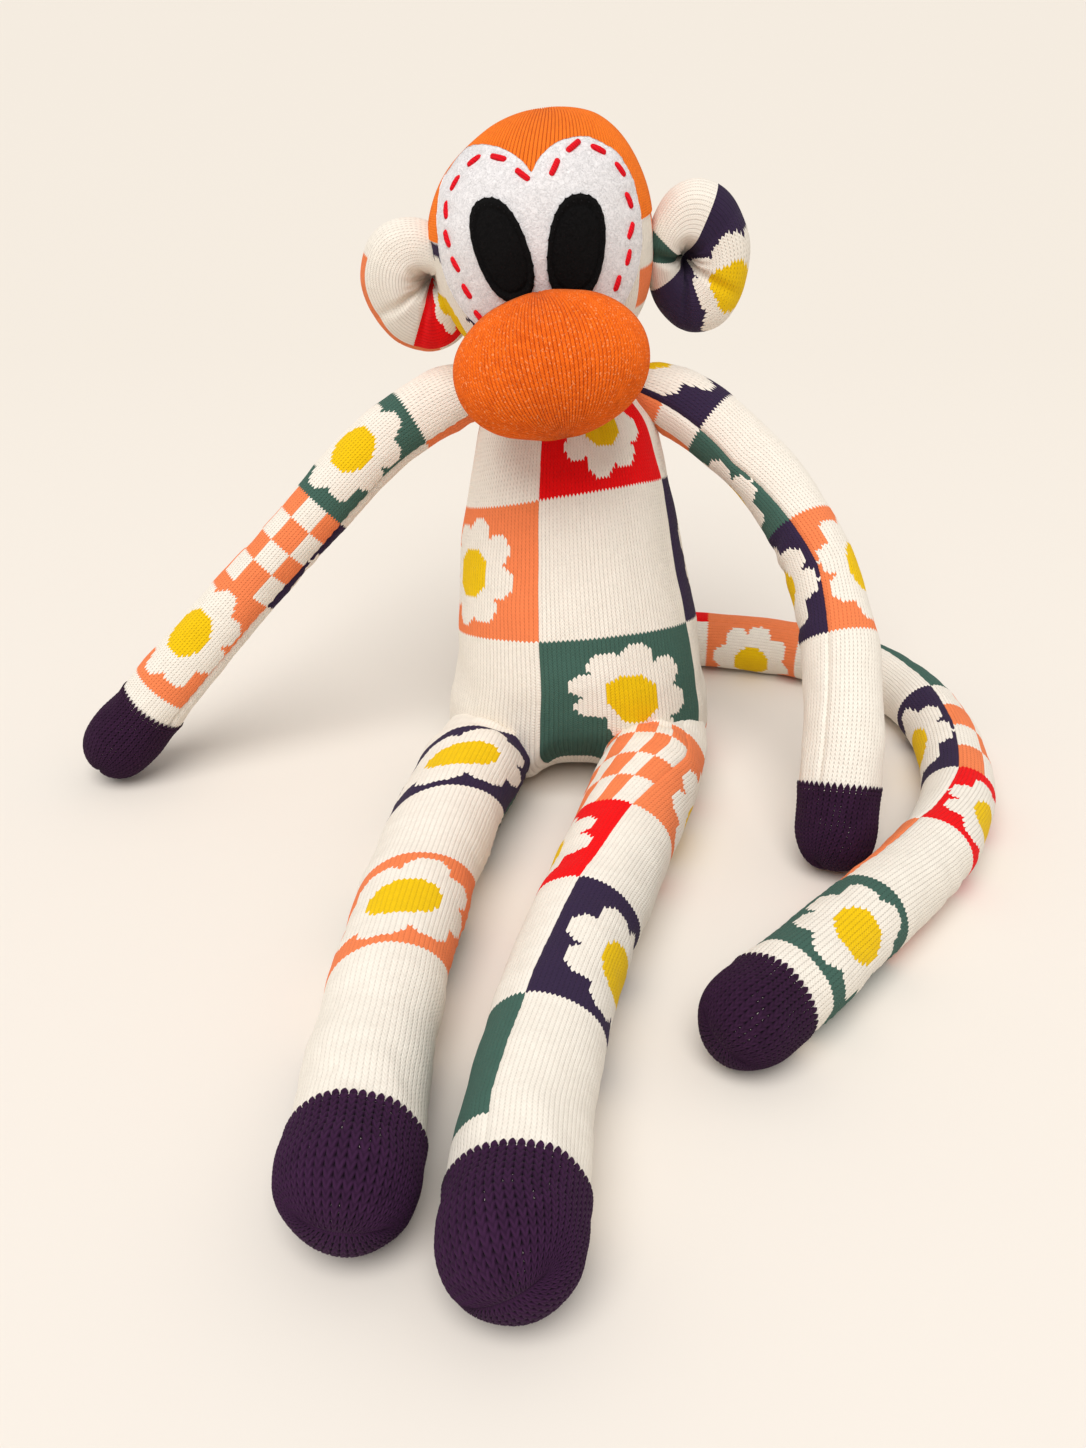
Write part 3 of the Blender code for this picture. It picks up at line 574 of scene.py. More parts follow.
PALE_LINT = (1.0, 0.44, 0.19, 1.0)
# The next two colours are painted shade: what the hollows between the orange and the purple loops are
# darkened towards.
ORANGE_HOLLOW_SHADE = (0.50, 0.26, 0.12, 1.0)
PURPLE_HOLLOW_SHADE = (0.05, 0.04, 0.05, 1.0)
# The crown's orange is the muzzle's yarn made lighter: painted light on the top of the head.
ORANGE, LIT_CROWN_ORANGE = (0.980, 0.175, 0.010, 1.0), (1.0, 0.232, 0.020, 1.0)
# The hands and the tail tip take the same purple yarn as the feet, made a little darker.
DARKER_PURPLE = (0.034, 0.0095, 0.034, 1.0)
ORANGE_KNIT = plain_knit("orange_rib", ORANGE, 0.0006, 0.85, 0.6, 0.3, ORANGE_HOLLOW_SHADE, lint=0.45)
# The crown's knit takes the lighter orange, painted light.
CROWN_KNIT = plain_knit("crown_rib", LIT_CROWN_ORANGE, 0.0006, 0.9, 0.3, 0.2, ORANGE_HOLLOW_SHADE)
PURPLE_KNIT = plain_knit("purple_yarn_knit", PURPLE, 0.0004, 1.0, 0.35, 0.75, PURPLE_HOLLOW_SHADE, 0.012)
THIN_PURPLE = plain_knit("thin_purple_knit", DARKER_PURPLE, 0.0003, 1.0, 0.35, 0.75, PURPLE_HOLLOW_SHADE, 0.10)
print("materials:", [m.name for m in bpy.data.materials if m.users])

# %% [markdown]
# The stuffing itself is simulated. A coarse net of cloth is laid over a piece, held at both ends, made a
# little too large, and blown up from inside for a few frames. It bulges and puckers as real cloth does. The
# fine cloth is then laid over the net: it reads from it, smoothly, how far each place moved.

# %% Blow up a net of cloth
def read_net(net, u, v):
    """Smooth values between the knots of a net. Its rows run along v, and its columns round u close up."""
    rows, columns = net.shape[0] - 1, net.shape[1]
    x, y = u * columns, np.clip(v, 0.0, 1.0) * rows
    i, j = np.floor(x).astype(int), np.minimum(np.floor(y).astype(int), rows - 1)

    def shares(f):
        """How much each of four knots in a row counts, at a share f of the way between the middle two."""
        before, after = 3 * f**3 - 6 * f**2 + 4, -3 * f**3 + 3 * f**2 + 3 * f + 1
        return (1 - f) ** 3 / 6, before / 6, after / 6, f**3 / 6

    total = np.zeros((len(u), 3))
    for a, share_x in enumerate(shares(x - i)):
        for b, share_y in enumerate(shares(y - j)):
            row, column = np.clip(j + b - 1, 0, rows), np.mod(i + a - 1, columns)
            total += (share_x * share_y)[:, None] * net[row, column]
    return total


PRESSURE = 4.0
FRAMES = 20


def net_mesh(name, knots):
    """A closed tube of coarse cloth with its points at the knots."""
    rows, columns = knots.shape[0] - 1, knots.shape[1]
    bm = bmesh.new()
    bmesh.ops.create_grid(bm, x_segments=columns, y_segments=rows, size=0.5)
    bm.verts.ensure_lookup_table()
    for vert in bm.verts:
        column = round((vert.co.x + 0.5) * columns) % columns
        vert.co = knots[round((vert.co.y + 0.5) * rows), column]
    bmesh.ops.remove_doubles(bm, verts=bm.verts, dist=1e-6)
    bmesh.ops.recalc_face_normals(bm, faces=bm.faces)
    return mesh_of(bm, name)


def blow_up(name, knots, cap, spare):
    """knots[row, column] are the places of a net. Returns how far each knot moved, never more than cap."""
    mesh = net_mesh(name, knots)
    before = places_of(mesh)
    nearest = np.array([np.argmin(((before - spot) ** 2).sum(1)) for spot in knots.reshape(-1, 3)])
    nearest = nearest.reshape(knots.shape[:2])
    net = put_in_scene(name, mesh)
    held = net.vertex_groups.new(name="held")
    held.add([int(i) for i in set(nearest[0]) | set(nearest[-1])], 1.0, "REPLACE")
    cloth = net.modifiers.new("stuffing", "CLOTH")
    rules = cloth.settings
    rules.quality = 6
    rules.mass = 0.2
    rules.bending_stiffness = 0.3
    rules.vertex_group_mass = "held"
    rules.shrink_min = -spare
    rules.use_pressure = True
    rules.uniform_pressure_force = PRESSURE
    rules.effector_weights.gravity = 0.0
    cloth.collision_settings.use_collision = False
    scene = bpy.context.scene
    for frame_number in range(1, FRAMES + 1):
        scene.frame_set(frame_number)
    moved = places_of(net.evaluated_get(bpy.context.evaluated_depsgraph_get()).data) - before
    scene.frame_set(1)
    bpy.data.objects.remove(net)
    far = np.linalg.norm(moved, axis=1)
    moved *= (cap * np.tanh(far / cap) / np.maximum(far, 1e-9))[:, None]
    print(name, "moved by", (far.mean() * 1000).round(2), "mm, at most", (far.max() * 1000).round(2))
    return moved[nearest]


# %% [markdown]
# Every piece gets its net in the same way: the knots lie in even rows on its bare surface, and how far they
# moved fades out over a few rows at both ends, where the piece is sewn to the next one.

# %% Net over a piece
def padded_net(name, surface, rows, columns, cap, spare=0.05, fade=(4.0, 3.0)):
    """Blows up a net laid over surface(u, v). The motion fades out over so many rows at its two ends."""
    v, u = np.meshgrid(np.linspace(0, 1, rows + 1), np.arange(columns) / columns, indexing="ij")
    net = blow_up(name, surface(u.ravel(), v.ravel()).reshape(rows + 1, columns, 3), cap, spare)
    row = np.arange(rows + 1)
    ends = np.clip(np.minimum(row / fade[0], row[::-1] / fade[1]), 0.0, 1.0)
    return net * ends[:, None, None]


print("a net stays inside its cap, with", FRAMES, "frames of pressure", PRESSURE)


# %% [markdown]
# Arms, legs and tail are long strips, stuffed and laid along a bent line. Each line is walked from its
# root in small steps, turning as its table of headings says. The walk gives a place, a direction and a
# width at every distance, and the cloth is hung on those.

# %% Walk a limb's middle line
WALK_STEPS = 240
FLOOR_GAP = 0.0003


class Limb:
    """A stuffed tube: its middle line, its width along that line, and its round end."""

    def __init__(self, root, length, headings, width, widths, on_floor):
        self.length, self.width, self.widths = length, width, widths
        self.net = None
        places, azimuths, pitches = np.array(headings).T
        shares = (np.arange(WALK_STEPS) + 0.5) / WALK_STEPS
        azimuth = np.radians(np.interp(shares, places, azimuths))
        pitch = np.radians(np.interp(shares, places, pitches))
        level = np.cos(pitch)
        ways = np.stack([np.sin(azimuth) * level, -np.cos(azimuth) * level, np.sin(pitch)], 1)
        steps = ways * length / WALK_STEPS
        self.at = np.linspace(0.0, length, WALK_STEPS + 1)
        self.points = np.array(root, float) + np.vstack([np.zeros(3), np.cumsum(steps, 0)])
        if on_floor:
            self.points[:, 2] = self.full_radius(self.at) + FLOOR_GAP
        self.ahead = unit(np.gradient(self.points, axis=0))
        self.round_length = float(self.full_radius(length)) * 0.95
        self.net_length = length - self.round_length

    def full_radius(self, distance):
        return self.width / 2 * read_smooth(np.asarray(distance, float) / self.length, self.widths)

    def radius(self, distance):
        into_end = (distance - (self.length - self.round_length)) / self.round_length
        return self.full_radius(distance) * egg_radius(np.clip(into_end, 0.0, 1.0), 2.3)

    def middle(self, distance):
        inside = np.clip(distance, 0.0, self.length)
        found = np.stack([np.interp(inside, self.at, self.points[:, k]) for k in range(3)], -1)
        return found + np.minimum(distance, 0.0)[..., None] * self.ahead[0]

    def axes(self, distance):
        along = unit(np.stack([np.interp(distance, self.at, self.ahead[:, k]) for k in range(3)], -1))
        across = unit(np.cross(along, (0.0, 0.0, 1.0)))
        return along, across, np.cross(across, along)

    def surface(self, distance, angle, extra=0.0):
        """Places on the cloth. The angle is 0 on top and grows towards the limb's own right."""
        _, across, over = self.axes(distance)
        out = across * np.sin(angle)[:, None] + over * np.cos(angle)[:, None]
        bare = self.middle(distance) + out * (self.radius(distance) + extra)[:, None]
        return bare + self.moved(distance, angle), out

    def moved(self, distance, angle):
        """How far the stuffing moved the cloth here."""
        if self.net is None:
            return np.zeros((len(distance), 3))
        return read_net(self.net, np.mod(angle / FULL_TURN, 1.0), distance / self.net_length)


TO_SIDE = {"right": -1.0, "left": 1.0}
TORSO_TOP = np.array([-0.0050, 0.0320, TORSO_HEIGHT])

# %% [markdown]
# The same three tables as in the solids give both arms, both legs and the tail.

# %% The five limbs
ARM_LENGTH = 0.2145
ARM_HEADINGS = {
    "right": ((0.0, -74.0, -9.0), (0.12, -70.0, -24.0), (0.30, -64.0, -42.0), (0.75, -71.0, -45.0),
              (1.0, -77.0, -46.5)),
    "left": ((0.0, 78.0, -10.0), (0.16, 60.0, -28.0), (0.42, 29.0, -38.0), (0.68, 1.5, -47.0),
             (1.0, -17.0, -66.0)),
}
ARM_WIDTHS = {
    "right": ((0.0, 0.74), (0.10, 0.96), (0.25, 0.95), (0.50, 0.92), (0.75, 0.97), (0.86, 1.04),
              (0.93, 1.09), (1.0, 1.08)),
    "left": ((0.0, 0.78), (0.10, 0.98), (0.30, 0.98), (0.55, 1.04), (0.80, 1.09), (0.88, 1.11),
             (1.0, 1.06)),
}
ARM_OUT = {"right": 0.0270, "left": 0.0220}
LEG_HEADINGS = {
    "right": ((0.0, -16.0, 0.0), (0.30, -11.5, 0.0), (0.60, -5.0, 0.0), (1.0, 0.5, 0.0)),
    "left": ((0.0, -4.0, 0.0), (0.075, -5.0, 0.0), (0.19, -17.0, 0.0), (0.50, -16.5, 0.0),
             (0.75, -8.0, 0.0), (1.0, -2.5, 0.0)),
}
LEG_WIDTHS = (
    (0.0, 1.02), (0.15, 1.00), (0.45, 0.94), (0.70, 0.93), (0.85, 0.955), (0.93, 0.975), (1.0, 0.965),
)
LEG_LENGTH = {"right": 0.2490, "left": 0.2710}
TAIL_LENGTH = 0.4160
TAIL_HEADINGS = (
    (0.0, 178.0, 0.0), (0.08, 140.0, 0.0), (0.16, 84.0, 0.0), (0.25, 71.0, 0.0), (0.32, 53.0, 0.0),
    (0.38, 29.5, 0.0), (0.45, 9.0, 0.0), (0.53, -5.0, 0.0), (0.61, -17.0, 0.0), (0.68, -33.0, 0.0),
    (0.75, -41.0, 0.0), (0.88, -41.5, 0.0), (1.0, -47.0, 0.0),
)
TAIL_WIDTHS = (
    (0.0, 0.92), (0.08, 0.98), (0.45, 0.99), (0.60, 1.05), (0.80, 1.15), (0.93, 1.21), (1.0, 1.20),
)


def arm_root(side):
    return TORSO_TOP + np.array([TO_SIDE[side] * ARM_OUT[side] + 0.000085, 0.000011, -0.0030])


LIMBS = {
    "tail": Limb((0.0110, 0.02855, 0.01127), TAIL_LENGTH, TAIL_HEADINGS, 0.0245, TAIL_WIDTHS, True),
}
for side in ("right", "left"):
    shoulder, hip = arm_root(side), (TO_SIDE[side] * 0.0300, -0.0120, 0.01927)
    LIMBS[side + "_arm"] = Limb(shoulder, ARM_LENGTH, ARM_HEADINGS[side], 0.0250, ARM_WIDTHS[side], False)
    LIMBS[side + "_leg"] = Limb(hip, LEG_LENGTH[side], LEG_HEADINGS[side], 0.0372, LEG_WIDTHS, True)

KNOT_STEP = 0.0036
LIMB_SLACK = 0.0006


def stuff_limb(name, limb):
    """Blows up the net of a limb. It starts a little inside the cloth and may move about as far."""

    def bare(u, v):
        return limb.surface(v * limb.net_length, u * FULL_TURN, -LIMB_SLACK)[0]

    rows = round(limb.net_length / KNOT_STEP)
    limb.net = padded_net(name + "_net", bare, rows, 40, LIMB_SLACK, 0.02, (3.0, 3.0))


for name, limb in LIMBS.items():
    stuff_limb(name, limb)
    print(name, "ends at", limb.points[-1].round(4))

# %% [markdown]
# Cloth for one stretch of a limb. Its wales stand up as fine ribs. The seam runs along one side: there the
# cloth is drawn in to a groove, and small puckers leave it on both sides. Near a joint the cloth has a few
# soft creases across, on the side that the bend squeezes. What lies on the floor is flattened.

# %% Cloth along a limb
RIB = 0.00011
ROUND_WALE = 4
ROW_STEP = 0.0018
STRAIGHT = ((0.0, 0.0), (1.0, 0.0))


def ribs(wale):
    """Relief of the wales: round ridges with a narrow groove between them."""
    return RIB * (np.abs(np.sin(np.pi * wale)) ** 0.6 - 0.7)


def stuffing(bare, lump):
    return lump * waves(bare, 0.030, 3) + 0.5 * lump * waves(bare, 0.012, 4)


def seam_relief(distance, angle, radius):
    """How far a sewn seam at angle 0 and its puckers move the cloth, outwards."""
    beside = wrapped(angle) * radius
    groove = -0.0010 * np.exp(-(beside / 0.0010) ** 2)
    wave = np.sin(distance * FULL_TURN / 0.0042 + 2.0 * np.sin(distance * 130.0))
    pucker = 0.00030 * wave * np.exp(-(np.abs(beside) / 0.0038) ** 1.5)
    return groove + pucker


def creases(distance, angle, places):
    """Soft folds across a limb. Each place is (distance, angle of the squeezed side, depth, spread)."""
    total = np.zeros(len(distance))
    for at, side, depth, spread in places:
        off = distance - at
        near = np.exp(-(off / spread) ** 2) * np.clip(np.cos(angle - side), 0.0, 1.0) ** 1.5
        total += depth * near * np.cos(off * FULL_TURN / (spread * 1.1) + 0.9 * np.sin(2 * angle))
        total -= 0.6 * depth * near
    return total


def rest_on_floor(places):
    places[:, 2] = np.maximum(places[:, 2], FLOOR_GAP)
    return places


def limb_cloth(name, limb, start, end, look, material):
    """The patterned cloth of a limb from one distance to another. look says how the tube was sewn.

    Its "seam" is the angle of the seam in degrees, "share" how much of the way round the first column of
    blocks takes, and "rows" the distances where its blocks begin and end. The rest is optional: "twist" and
    "skew" turn and slant the blocks, "folds" are creases, "ladder" is how deep the line between the two
    columns lies, "root" how long the rounded start is, and "tuck" how far a thigh sinks under the belly.
    """
    rows = max(4, round((end - start) / ROW_STEP))
    wales, first, share = look["wales"], math.radians(look["seam"]), look.get("share", 0.5)
    twist_at, twist_by = zip(*look.get("twist", STRAIGHT))
    skew_at, skew_by = zip(*look.get("skew", STRAIGHT))

    def column(u):
        return np.interp(u, [0.0, share, 1.0], [0.0, 1.0, 2.0])

    def turned(u, distance):
        return first + FULL_TURN * u + np.radians(np.interp(distance, twist_at, twist_by))

    def place(u, v):
        distance = start + (end - start) * v
        angle = turned(u, distance)
        radius = limb.full_radius(distance)
        bare, out = limb.surface(distance, angle)
        extra = stuffing(bare, 0.0006) + ribs(column(u) * wales)
        extra += seam_relief(distance, u * FULL_TURN, radius)
        extra += look.get("ladder", 0.4) * seam_relief(distance, (u - share) * FULL_TURN, radius)
        extra += creases(distance, angle, look.get("folds", ()))
        to_root = np.clip(1.0 - distance / look.get("root", 1e-6), 0.0, 1.0)
        extra -= radius * (1.0 - np.sqrt(1.0 - 0.98 * to_root**2))
        under = np.clip((0.040 - distance) / 0.022, 0.0, 1.0)
        extra -= look.get("tuck", 0.0) * under * under * (3 - 2 * under) * np.clip(np.cos(angle), 0.0, 1.0)
        return rest_on_floor(bare + out * extra[:, None])

    def knit(u, v):
        distance = start + (end - start) * v
        askew = np.interp(distance, skew_at, skew_by) * np.degrees(turned(u, distance))
        return column(u), np.interp(distance - askew, look["rows"], np.arange(len(look["rows"])))

    return cloth_piece(name, 2 * wales * ROUND_WALE, rows, place, knit, material)


# %% [markdown]
# Hands, feet and the tip of the tail are the toe of a sock, knitted in thicker purple yarn. Its loops are
# big enough to see, so they are modelled in the cloth itself. The toe closes in a short seam across the
# tip, and not in a point: the rings flatten towards a line, and merging its two sides sews it shut.

# %% Purple ends
SEAM_HALF = 0.55
ROUND_LOOP, ALONG_LOOP = 8, 6


def loop_height(wale, course):
    """How high the yarn stands on a knitted loop, from 0 in the hollows to 1 on a leg of the V."""
    leg = np.abs(np.mod(wale, 1.0) - 0.5) * 2.0
    across = np.sin(np.pi * leg) ** 0.6
    along = np.sin(np.pi * np.mod(course + leg * SLANT, 1.0))
    hollow = (1.0 - across * (0.55 + 0.45 * along)) * (0.35 + 0.65 * leg)
    bridge = 0.5 - 0.5 * np.cos(FULL_TURN * (course + leg * SLANT))
    return 1.0 - hollow * (1.0 - 0.75 * bridge)


def purple_end(name, limb, start, seam_angle, wales, course, yarn, material):
    """The toe of a sock over the end of a limb. Its wales run over the tip and meet at the toe seam.

    course is the length of a loop, yarn how high it stands, and seam_angle the way the toe seam lies.
    """
    cap_length = limb.round_length + 0.0030
    last = limb.length - cap_length
    full = float(limb.full_radius(last))
    tube_rows = int(round((last - start) / course))
    cap_rows = int(round(full * 1.35 / course))
    rows = tube_rows + cap_rows
    ahead, line, over = (axis[0] for axis in limb.axes(np.array([last])))
    middle = limb.middle(np.array([last]))[0]
    flat = line * math.sin(seam_angle) + over * math.cos(seam_angle)
    thick = line * math.cos(seam_angle) - over * math.sin(seam_angle)

    def on_cap(turned, part):
        """Place and outward way on the round end: from its rim at part 0 to the toe seam at part 1."""
        rim = np.stack([np.cos(turned), np.sin(turned), np.zeros(len(turned))], -1)
        seam_x = SEAM_HALF * np.cos(turned)
        seam = np.stack([seam_x, np.zeros(len(turned)), np.sqrt(1 - seam_x**2)], -1)
        swing = np.arccos(np.clip((rim * seam).sum(1), -1.0, 1.0))
        near, far = np.sin((1 - part) * swing), np.sin(part * swing)
        way = (rim * near[:, None] + seam * far[:, None]) / np.sin(swing)[:, None]
        bent = (np.hypot(way[:, 0], way[:, 1]) ** 2.2 + np.abs(way[:, 2]) ** 2.2) ** (-1 / 2.2)
        local = way * bent[:, None] * np.array([full, full, cap_length])
        spot = middle + local[:, :1] * flat + local[:, 1:2] * thick + local[:, 2:] * ahead
        out = way[:, :1] * flat + way[:, 1:2] * thick + way[:, 2:] * ahead
        return spot, out

    def place(u, v):
        row = v * rows
        part = np.clip((row - tube_rows) / cap_rows, 0.0, 1.0)
        tooth = (np.abs(np.mod(u * wales, 1.0) - 0.5) * 2.0 - 0.5) * np.clip(1.0 - row / 2.0, 0.0, 1.0)
        tube = start + (last - start) * np.clip(row / tube_rows, 0.0, 1.0) + 0.0019 * tooth
        angle = FULL_TURN * u
        bare, out = limb.surface(tube, angle)
        spot, cap_out = on_cap(angle - seam_angle, part)
        spot += limb.moved(np.full(len(angle), last), angle) * (1.0 - part[:, None]) ** 2
        on_end = (part > 0)[:, None]
        bare, out = np.where(on_end, spot, bare), np.where(on_end, cap_out, out)
        narrow = 1 - part + part * SEAM_HALF * np.abs(np.sin(angle - seam_angle))
        lip = 0.0003 * np.clip(1.0 - row / 3.0, 0.0, 1.0)
        high = yarn * (loop_height(u * wales, row) - 0.60) * np.minimum(1.0, narrow / 0.45) + lip
        sunk = -0.0009 * part**8
        extra = (high + stuffing(bare, 0.0006)) * (1.0 - part**30) + sunk
        return rest_on_floor(bare + out * extra[:, None])

    def knit(u, v):
        return u * wales, v * rows

    columns = wales * ROUND_LOOP
    return cloth_piece(name, columns, rows * ALONG_LOOP, place, knit, material)


# %% [markdown]
# The arms. Each is two pieces of cloth and a hand. The first piece crosses the shoulder and the second the
# elbow, and each is laid along the arm's bent line. The cream cloth runs on under the hand's edge.

# %% Arms
SHOULDER_AXIS = 0.0135
ELBOW = 0.47 * ARM_LENGTH
UNDER_KNIT = 0.0022
ARMS = {
    "right": {
        "wales": 28, "seam": -125.0, "rows": [-0.030, 0.0355, 0.081, 0.122, 0.173, 0.214],
        "cards": ("wTcPw", "pwNww"), "root": 0.011,
        "folds": ((0.012, 2.4, 0.0011, 0.008), (0.100, 2.6, 0.0006, 0.009)),
    },
    "left": {
        "wales": 28, "seam": -125.0, "rows": [-0.034, 0.036, 0.088, 0.1335, 0.186, 0.238],
        "cards": ("NwPww", "cTNww"), "ladder": 0.8, "root": 0.011,
        "twist": ((0.0, 27.0), (0.055, 27.0), (0.108, -22.0), (0.21, -16.0)),
        "folds": ((0.012, 3.4, 0.0011, 0.008), (0.096, 1.5, 0.0007, 0.010), (0.130, 1.7, 0.0005, 0.009)),
    },
}
WRIST = {"right": ARM_LENGTH - 0.0335, "left": ARM_LENGTH - 0.0295}


def world(limb, distance):
    return tuple(limb.middle(np.array([distance]))[0])


def make_arm(side):
    limb, look = LIMBS[side + "_arm"], ARMS[side]
    material = sock_material(side + "_arm_sock", look["cards"], wales=28.0, wide=0.88, hollow=0.26)
    split = 0.5 * (SHOULDER_AXIS + ELBOW) + 0.002
    shoulder = limb_cloth(side + "_shoulder_cloth", limb, 0.0, split, look, material)
    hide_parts(side + "_shoulder_fold", side + "_upper_arm")
    world(limb, 0.005)
    world(limb, 0.0215)
    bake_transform(shoulder)
    elbow = limb_cloth(side + "_elbow_cloth", limb, split, WRIST[side] + UNDER_KNIT, look, material)
    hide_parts(side + "_elbow_fold", side + "_forearm")
    near, far = world(limb, ELBOW - 0.0085), world(limb, ELBOW + 0.0085)
    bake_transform(elbow)
    toe = math.radians({"right": 100.0, "left": 39.0}[side])
    hand = purple_end(side + "_hand_knit", limb, WRIST[side], toe, 42, 0.0016, 0.0008, THIN_PURPLE)
    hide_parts(side + "_hand")
    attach(hand, side + "_forearm")


for side in ("right", "left"):
    make_arm(side)

# %% [markdown]
# The legs go on from the two halves of the slit sock. At the hip the belly lies over them, so the top of
# the thigh sinks under it. The pattern runs a little askew there, because the tube was turned in sewing.

# %% Legs
HIP_END = 0.0218
LEGS = {
    "right": {
        "wales": 38, "seam": -110.0, "share": 0.57,
        "rows": [-0.006, 0.037, 0.077, 0.1155, 0.160, 0.220, 0.265],
        "cards": ("wNwPww", "twtwnw"), "skew": ((0.0, 0.00022), (0.08, 0.00016), (0.22, 0.00002)),
        "folds": ((0.024, -0.2, 0.0010, 0.010), (0.118, 1.8, 0.0004, 0.012)), "tuck": 0.007,
    },
    "left": {
        "wales": 38, "seam": -183.0, "rows": [-0.020, 0.027, 0.086, 0.130, 0.184, 0.2275, 0.285],
        "cards": ("wPwNww", "wcRwtw"), "tuck": 0.007,
        "twist": (
            (0.0, -46.0), (0.045, -44.0), (0.086, -9.0), (0.130, 11.0), (0.184, 22.0), (0.22, 32.0),
        ),
        "folds": ((0.024, 0.3, 0.0010, 0.010), (0.128, -1.8, 0.0004, 0.012)),
    },
}
ANKLE = {"right": LEG_LENGTH["right"] - 0.0290, "left": LEG_LENGTH["left"] - 0.0320}


def make_leg(side):
    limb, look = LIMBS[side + "_leg"], LEGS[side]
    name = side + "_leg_sock"
    material = sock_material(name, look["cards"], wales=38.0, across=8.0, hollow=0.13, high=0.0003)
    knee = 0.47 * limb.length
    split = 0.5 * (HIP_END + knee) + 0.002
    hip = limb_cloth(side + "_hip_cloth", limb, -0.008, split, look, material)
    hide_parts(side + "_hip_fold", side + "_thigh")
    world(limb, 0.0)
    world(limb, HIP_END)
    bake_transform(hip)
    lower = limb_cloth(side + "_knee_cloth", limb, split, ANKLE[side] + UNDER_KNIT, look, material)
    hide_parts(side + "_knee_fold", side + "_shin")
    world(limb, knee - 0.013)
    world(limb, knee + 0.013)
    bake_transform(lower)
    toe = math.radians({"right": 80.0, "left": 125.0}[side])
    foot = purple_end(side + "_foot_knit", limb, ANKLE[side], toe, 50, 0.0019, 0.0011, PURPLE_KNIT)
    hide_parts(side + "_foot")
    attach(foot, side + "_shin")


for side in ("right", "left"):
    make_leg(side)

# %% [markdown]
# The tail is the longest strip. It has four pieces of cloth, one for each of its bends, and a purple tip.

# %% Tail
TAIL_LOOK = {
    "wales": 28, "seam": -195.0,
    "rows": [-0.018, 0.0275, 0.073, 0.115, 0.143, 0.186, 0.250, 0.290, 0.336, 0.382, 0.428],
    "cards": ("wrpwtcRwTww", "wwPwwNwptww"),
    "twist": (
        (0.0, 35.0), (0.115, 35.0), (0.143, 10.0), (0.186, 15.0), (0.25, 20.0), (0.29, 45.0), (0.336, 63.0),
    ),
    "folds": ((0.030, -1.6, 0.0008, 0.008), (0.112, -1.6, 0.0005, 0.009), (0.300, -1.6, 0.0004, 0.010)),
}
TAIL_ROOT_FOLD, TAIL_ROOT_END = 0.0200, 0.0275
TAIL_FOLDS = [0.27 * TAIL_LENGTH, 0.50 * TAIL_LENGTH, 0.73 * TAIL_LENGTH]
TAIL_BODIES = ["tail_base", "tail_bow", "tail_run", "tail_end"]


def make_tail():
    limb = LIMBS["tail"]
    material = sock_material("tail_sock", TAIL_LOOK["cards"], wales=28.0, wide=0.88, hollow=0.26)
    tip = limb.length - 0.0255
    joins = [0.5 * (TAIL_ROOT_END + TAIL_FOLDS[0])]
    joins += [0.5 * (a + b) for a, b in zip(TAIL_FOLDS, TAIL_FOLDS[1:])] + [tip]
    starts = [0.0] + joins[:-1]
    folds = [TAIL_ROOT_FOLD] + TAIL_FOLDS
    old_folds = ["tail_root_fold", "tail_base_fold", "tail_bow_fold", "tail_run_fold"]
    for index, body in enumerate(TAIL_BODIES):
        under = UNDER_KNIT if body == "tail_end" else 0.0
        piece = limb_cloth(body + "_cloth", limb, starts[index], joins[index] + under, TAIL_LOOK, material)
        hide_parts(body, old_folds[index])
        near, far = world(limb, folds[index] - 0.008), world(limb, folds[index] + 0.008)
        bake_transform(piece)
    end = purple_end("tail_tip_knit", limb, tip, math.radians(60.0), 44, 0.0017, 0.0009, THIN_PURPLE)
    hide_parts("tail_tip")
    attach(end, "tail_end")


make_tail()

# %% [markdown]
# The body is the leg of the sock: full at the seat, narrow at the neck, where a thread gathers it.

# %% Torso
SPINE = (
    (0.0, 0.03, 0.0), (0.14, 0.0, 0.0), (0.30, 0.05, 0.05), (0.45, 0.17, 0.30), (0.60, 0.37, 0.60),
    (0.75, 0.60, 0.80), (1.0, 1.0, 1.0),
)
TORSO_SHARES = (
    (0.00, 0.60, 0.58), (0.025, 0.80, 0.78), (0.07, 0.93, 0.92), (0.13, 1.00, 0.985), (0.21, 0.99, 1.00),
    (0.31, 0.945, 1.00), (0.42, 0.905, 0.97), (0.53, 0.86, 0.93), (0.69, 0.77, 0.85), (0.84, 0.68, 0.75),
    (0.92, 0.60, 0.67), (0.97, 0.49, 0.56), (1.00, 0.365, 0.44),
)
BLOCK_ANGLE = math.radians(-18.0)
BASE_ROWS, SIDE_ROWS = 14, 100
TORSO_ROWS = BASE_ROWS + SIDE_ROWS


def torso_angle(u):
    """Where a share of the way round the sheet lies. The sheet's seam is at the back."""
    return BLOCK_ANGLE - math.pi + FULL_TURN * u


def torso_middle(height):
    share = height / TORSO_HEIGHT
    back = read_smooth(share, SPINE, 1) * 0.038 - 0.0060
    across = read_smooth(share, SPINE, 2) * -0.0050
    return np.stack([across, back, height], -1)


def torso_surface(height, angle, scale=1.0):
    """Places on the torso. The angle is 0 in front and grows towards the doll's left."""
    share = height / TORSO_HEIGHT
    half_width = read_smooth(share, TORSO_SHARES, 1) * TORSO_WIDTH / 2 * scale
    half_depth = read_smooth(share, TORSO_SHARES, 2) * TORSO_DEPTH / 2 * scale
    offset = np.stack([np.sin(angle) * half_width, -np.cos(angle) * half_depth, np.zeros(len(angle))], -1)
    return torso_middle(height) + offset, unit(offset)


def torso_net():
    def bare(u, v):
        return torso_surface(v * TORSO_HEIGHT, torso_angle(u), 0.985)[0]

    return padded_net("torso_net", bare, 36, 72, 0.0018)


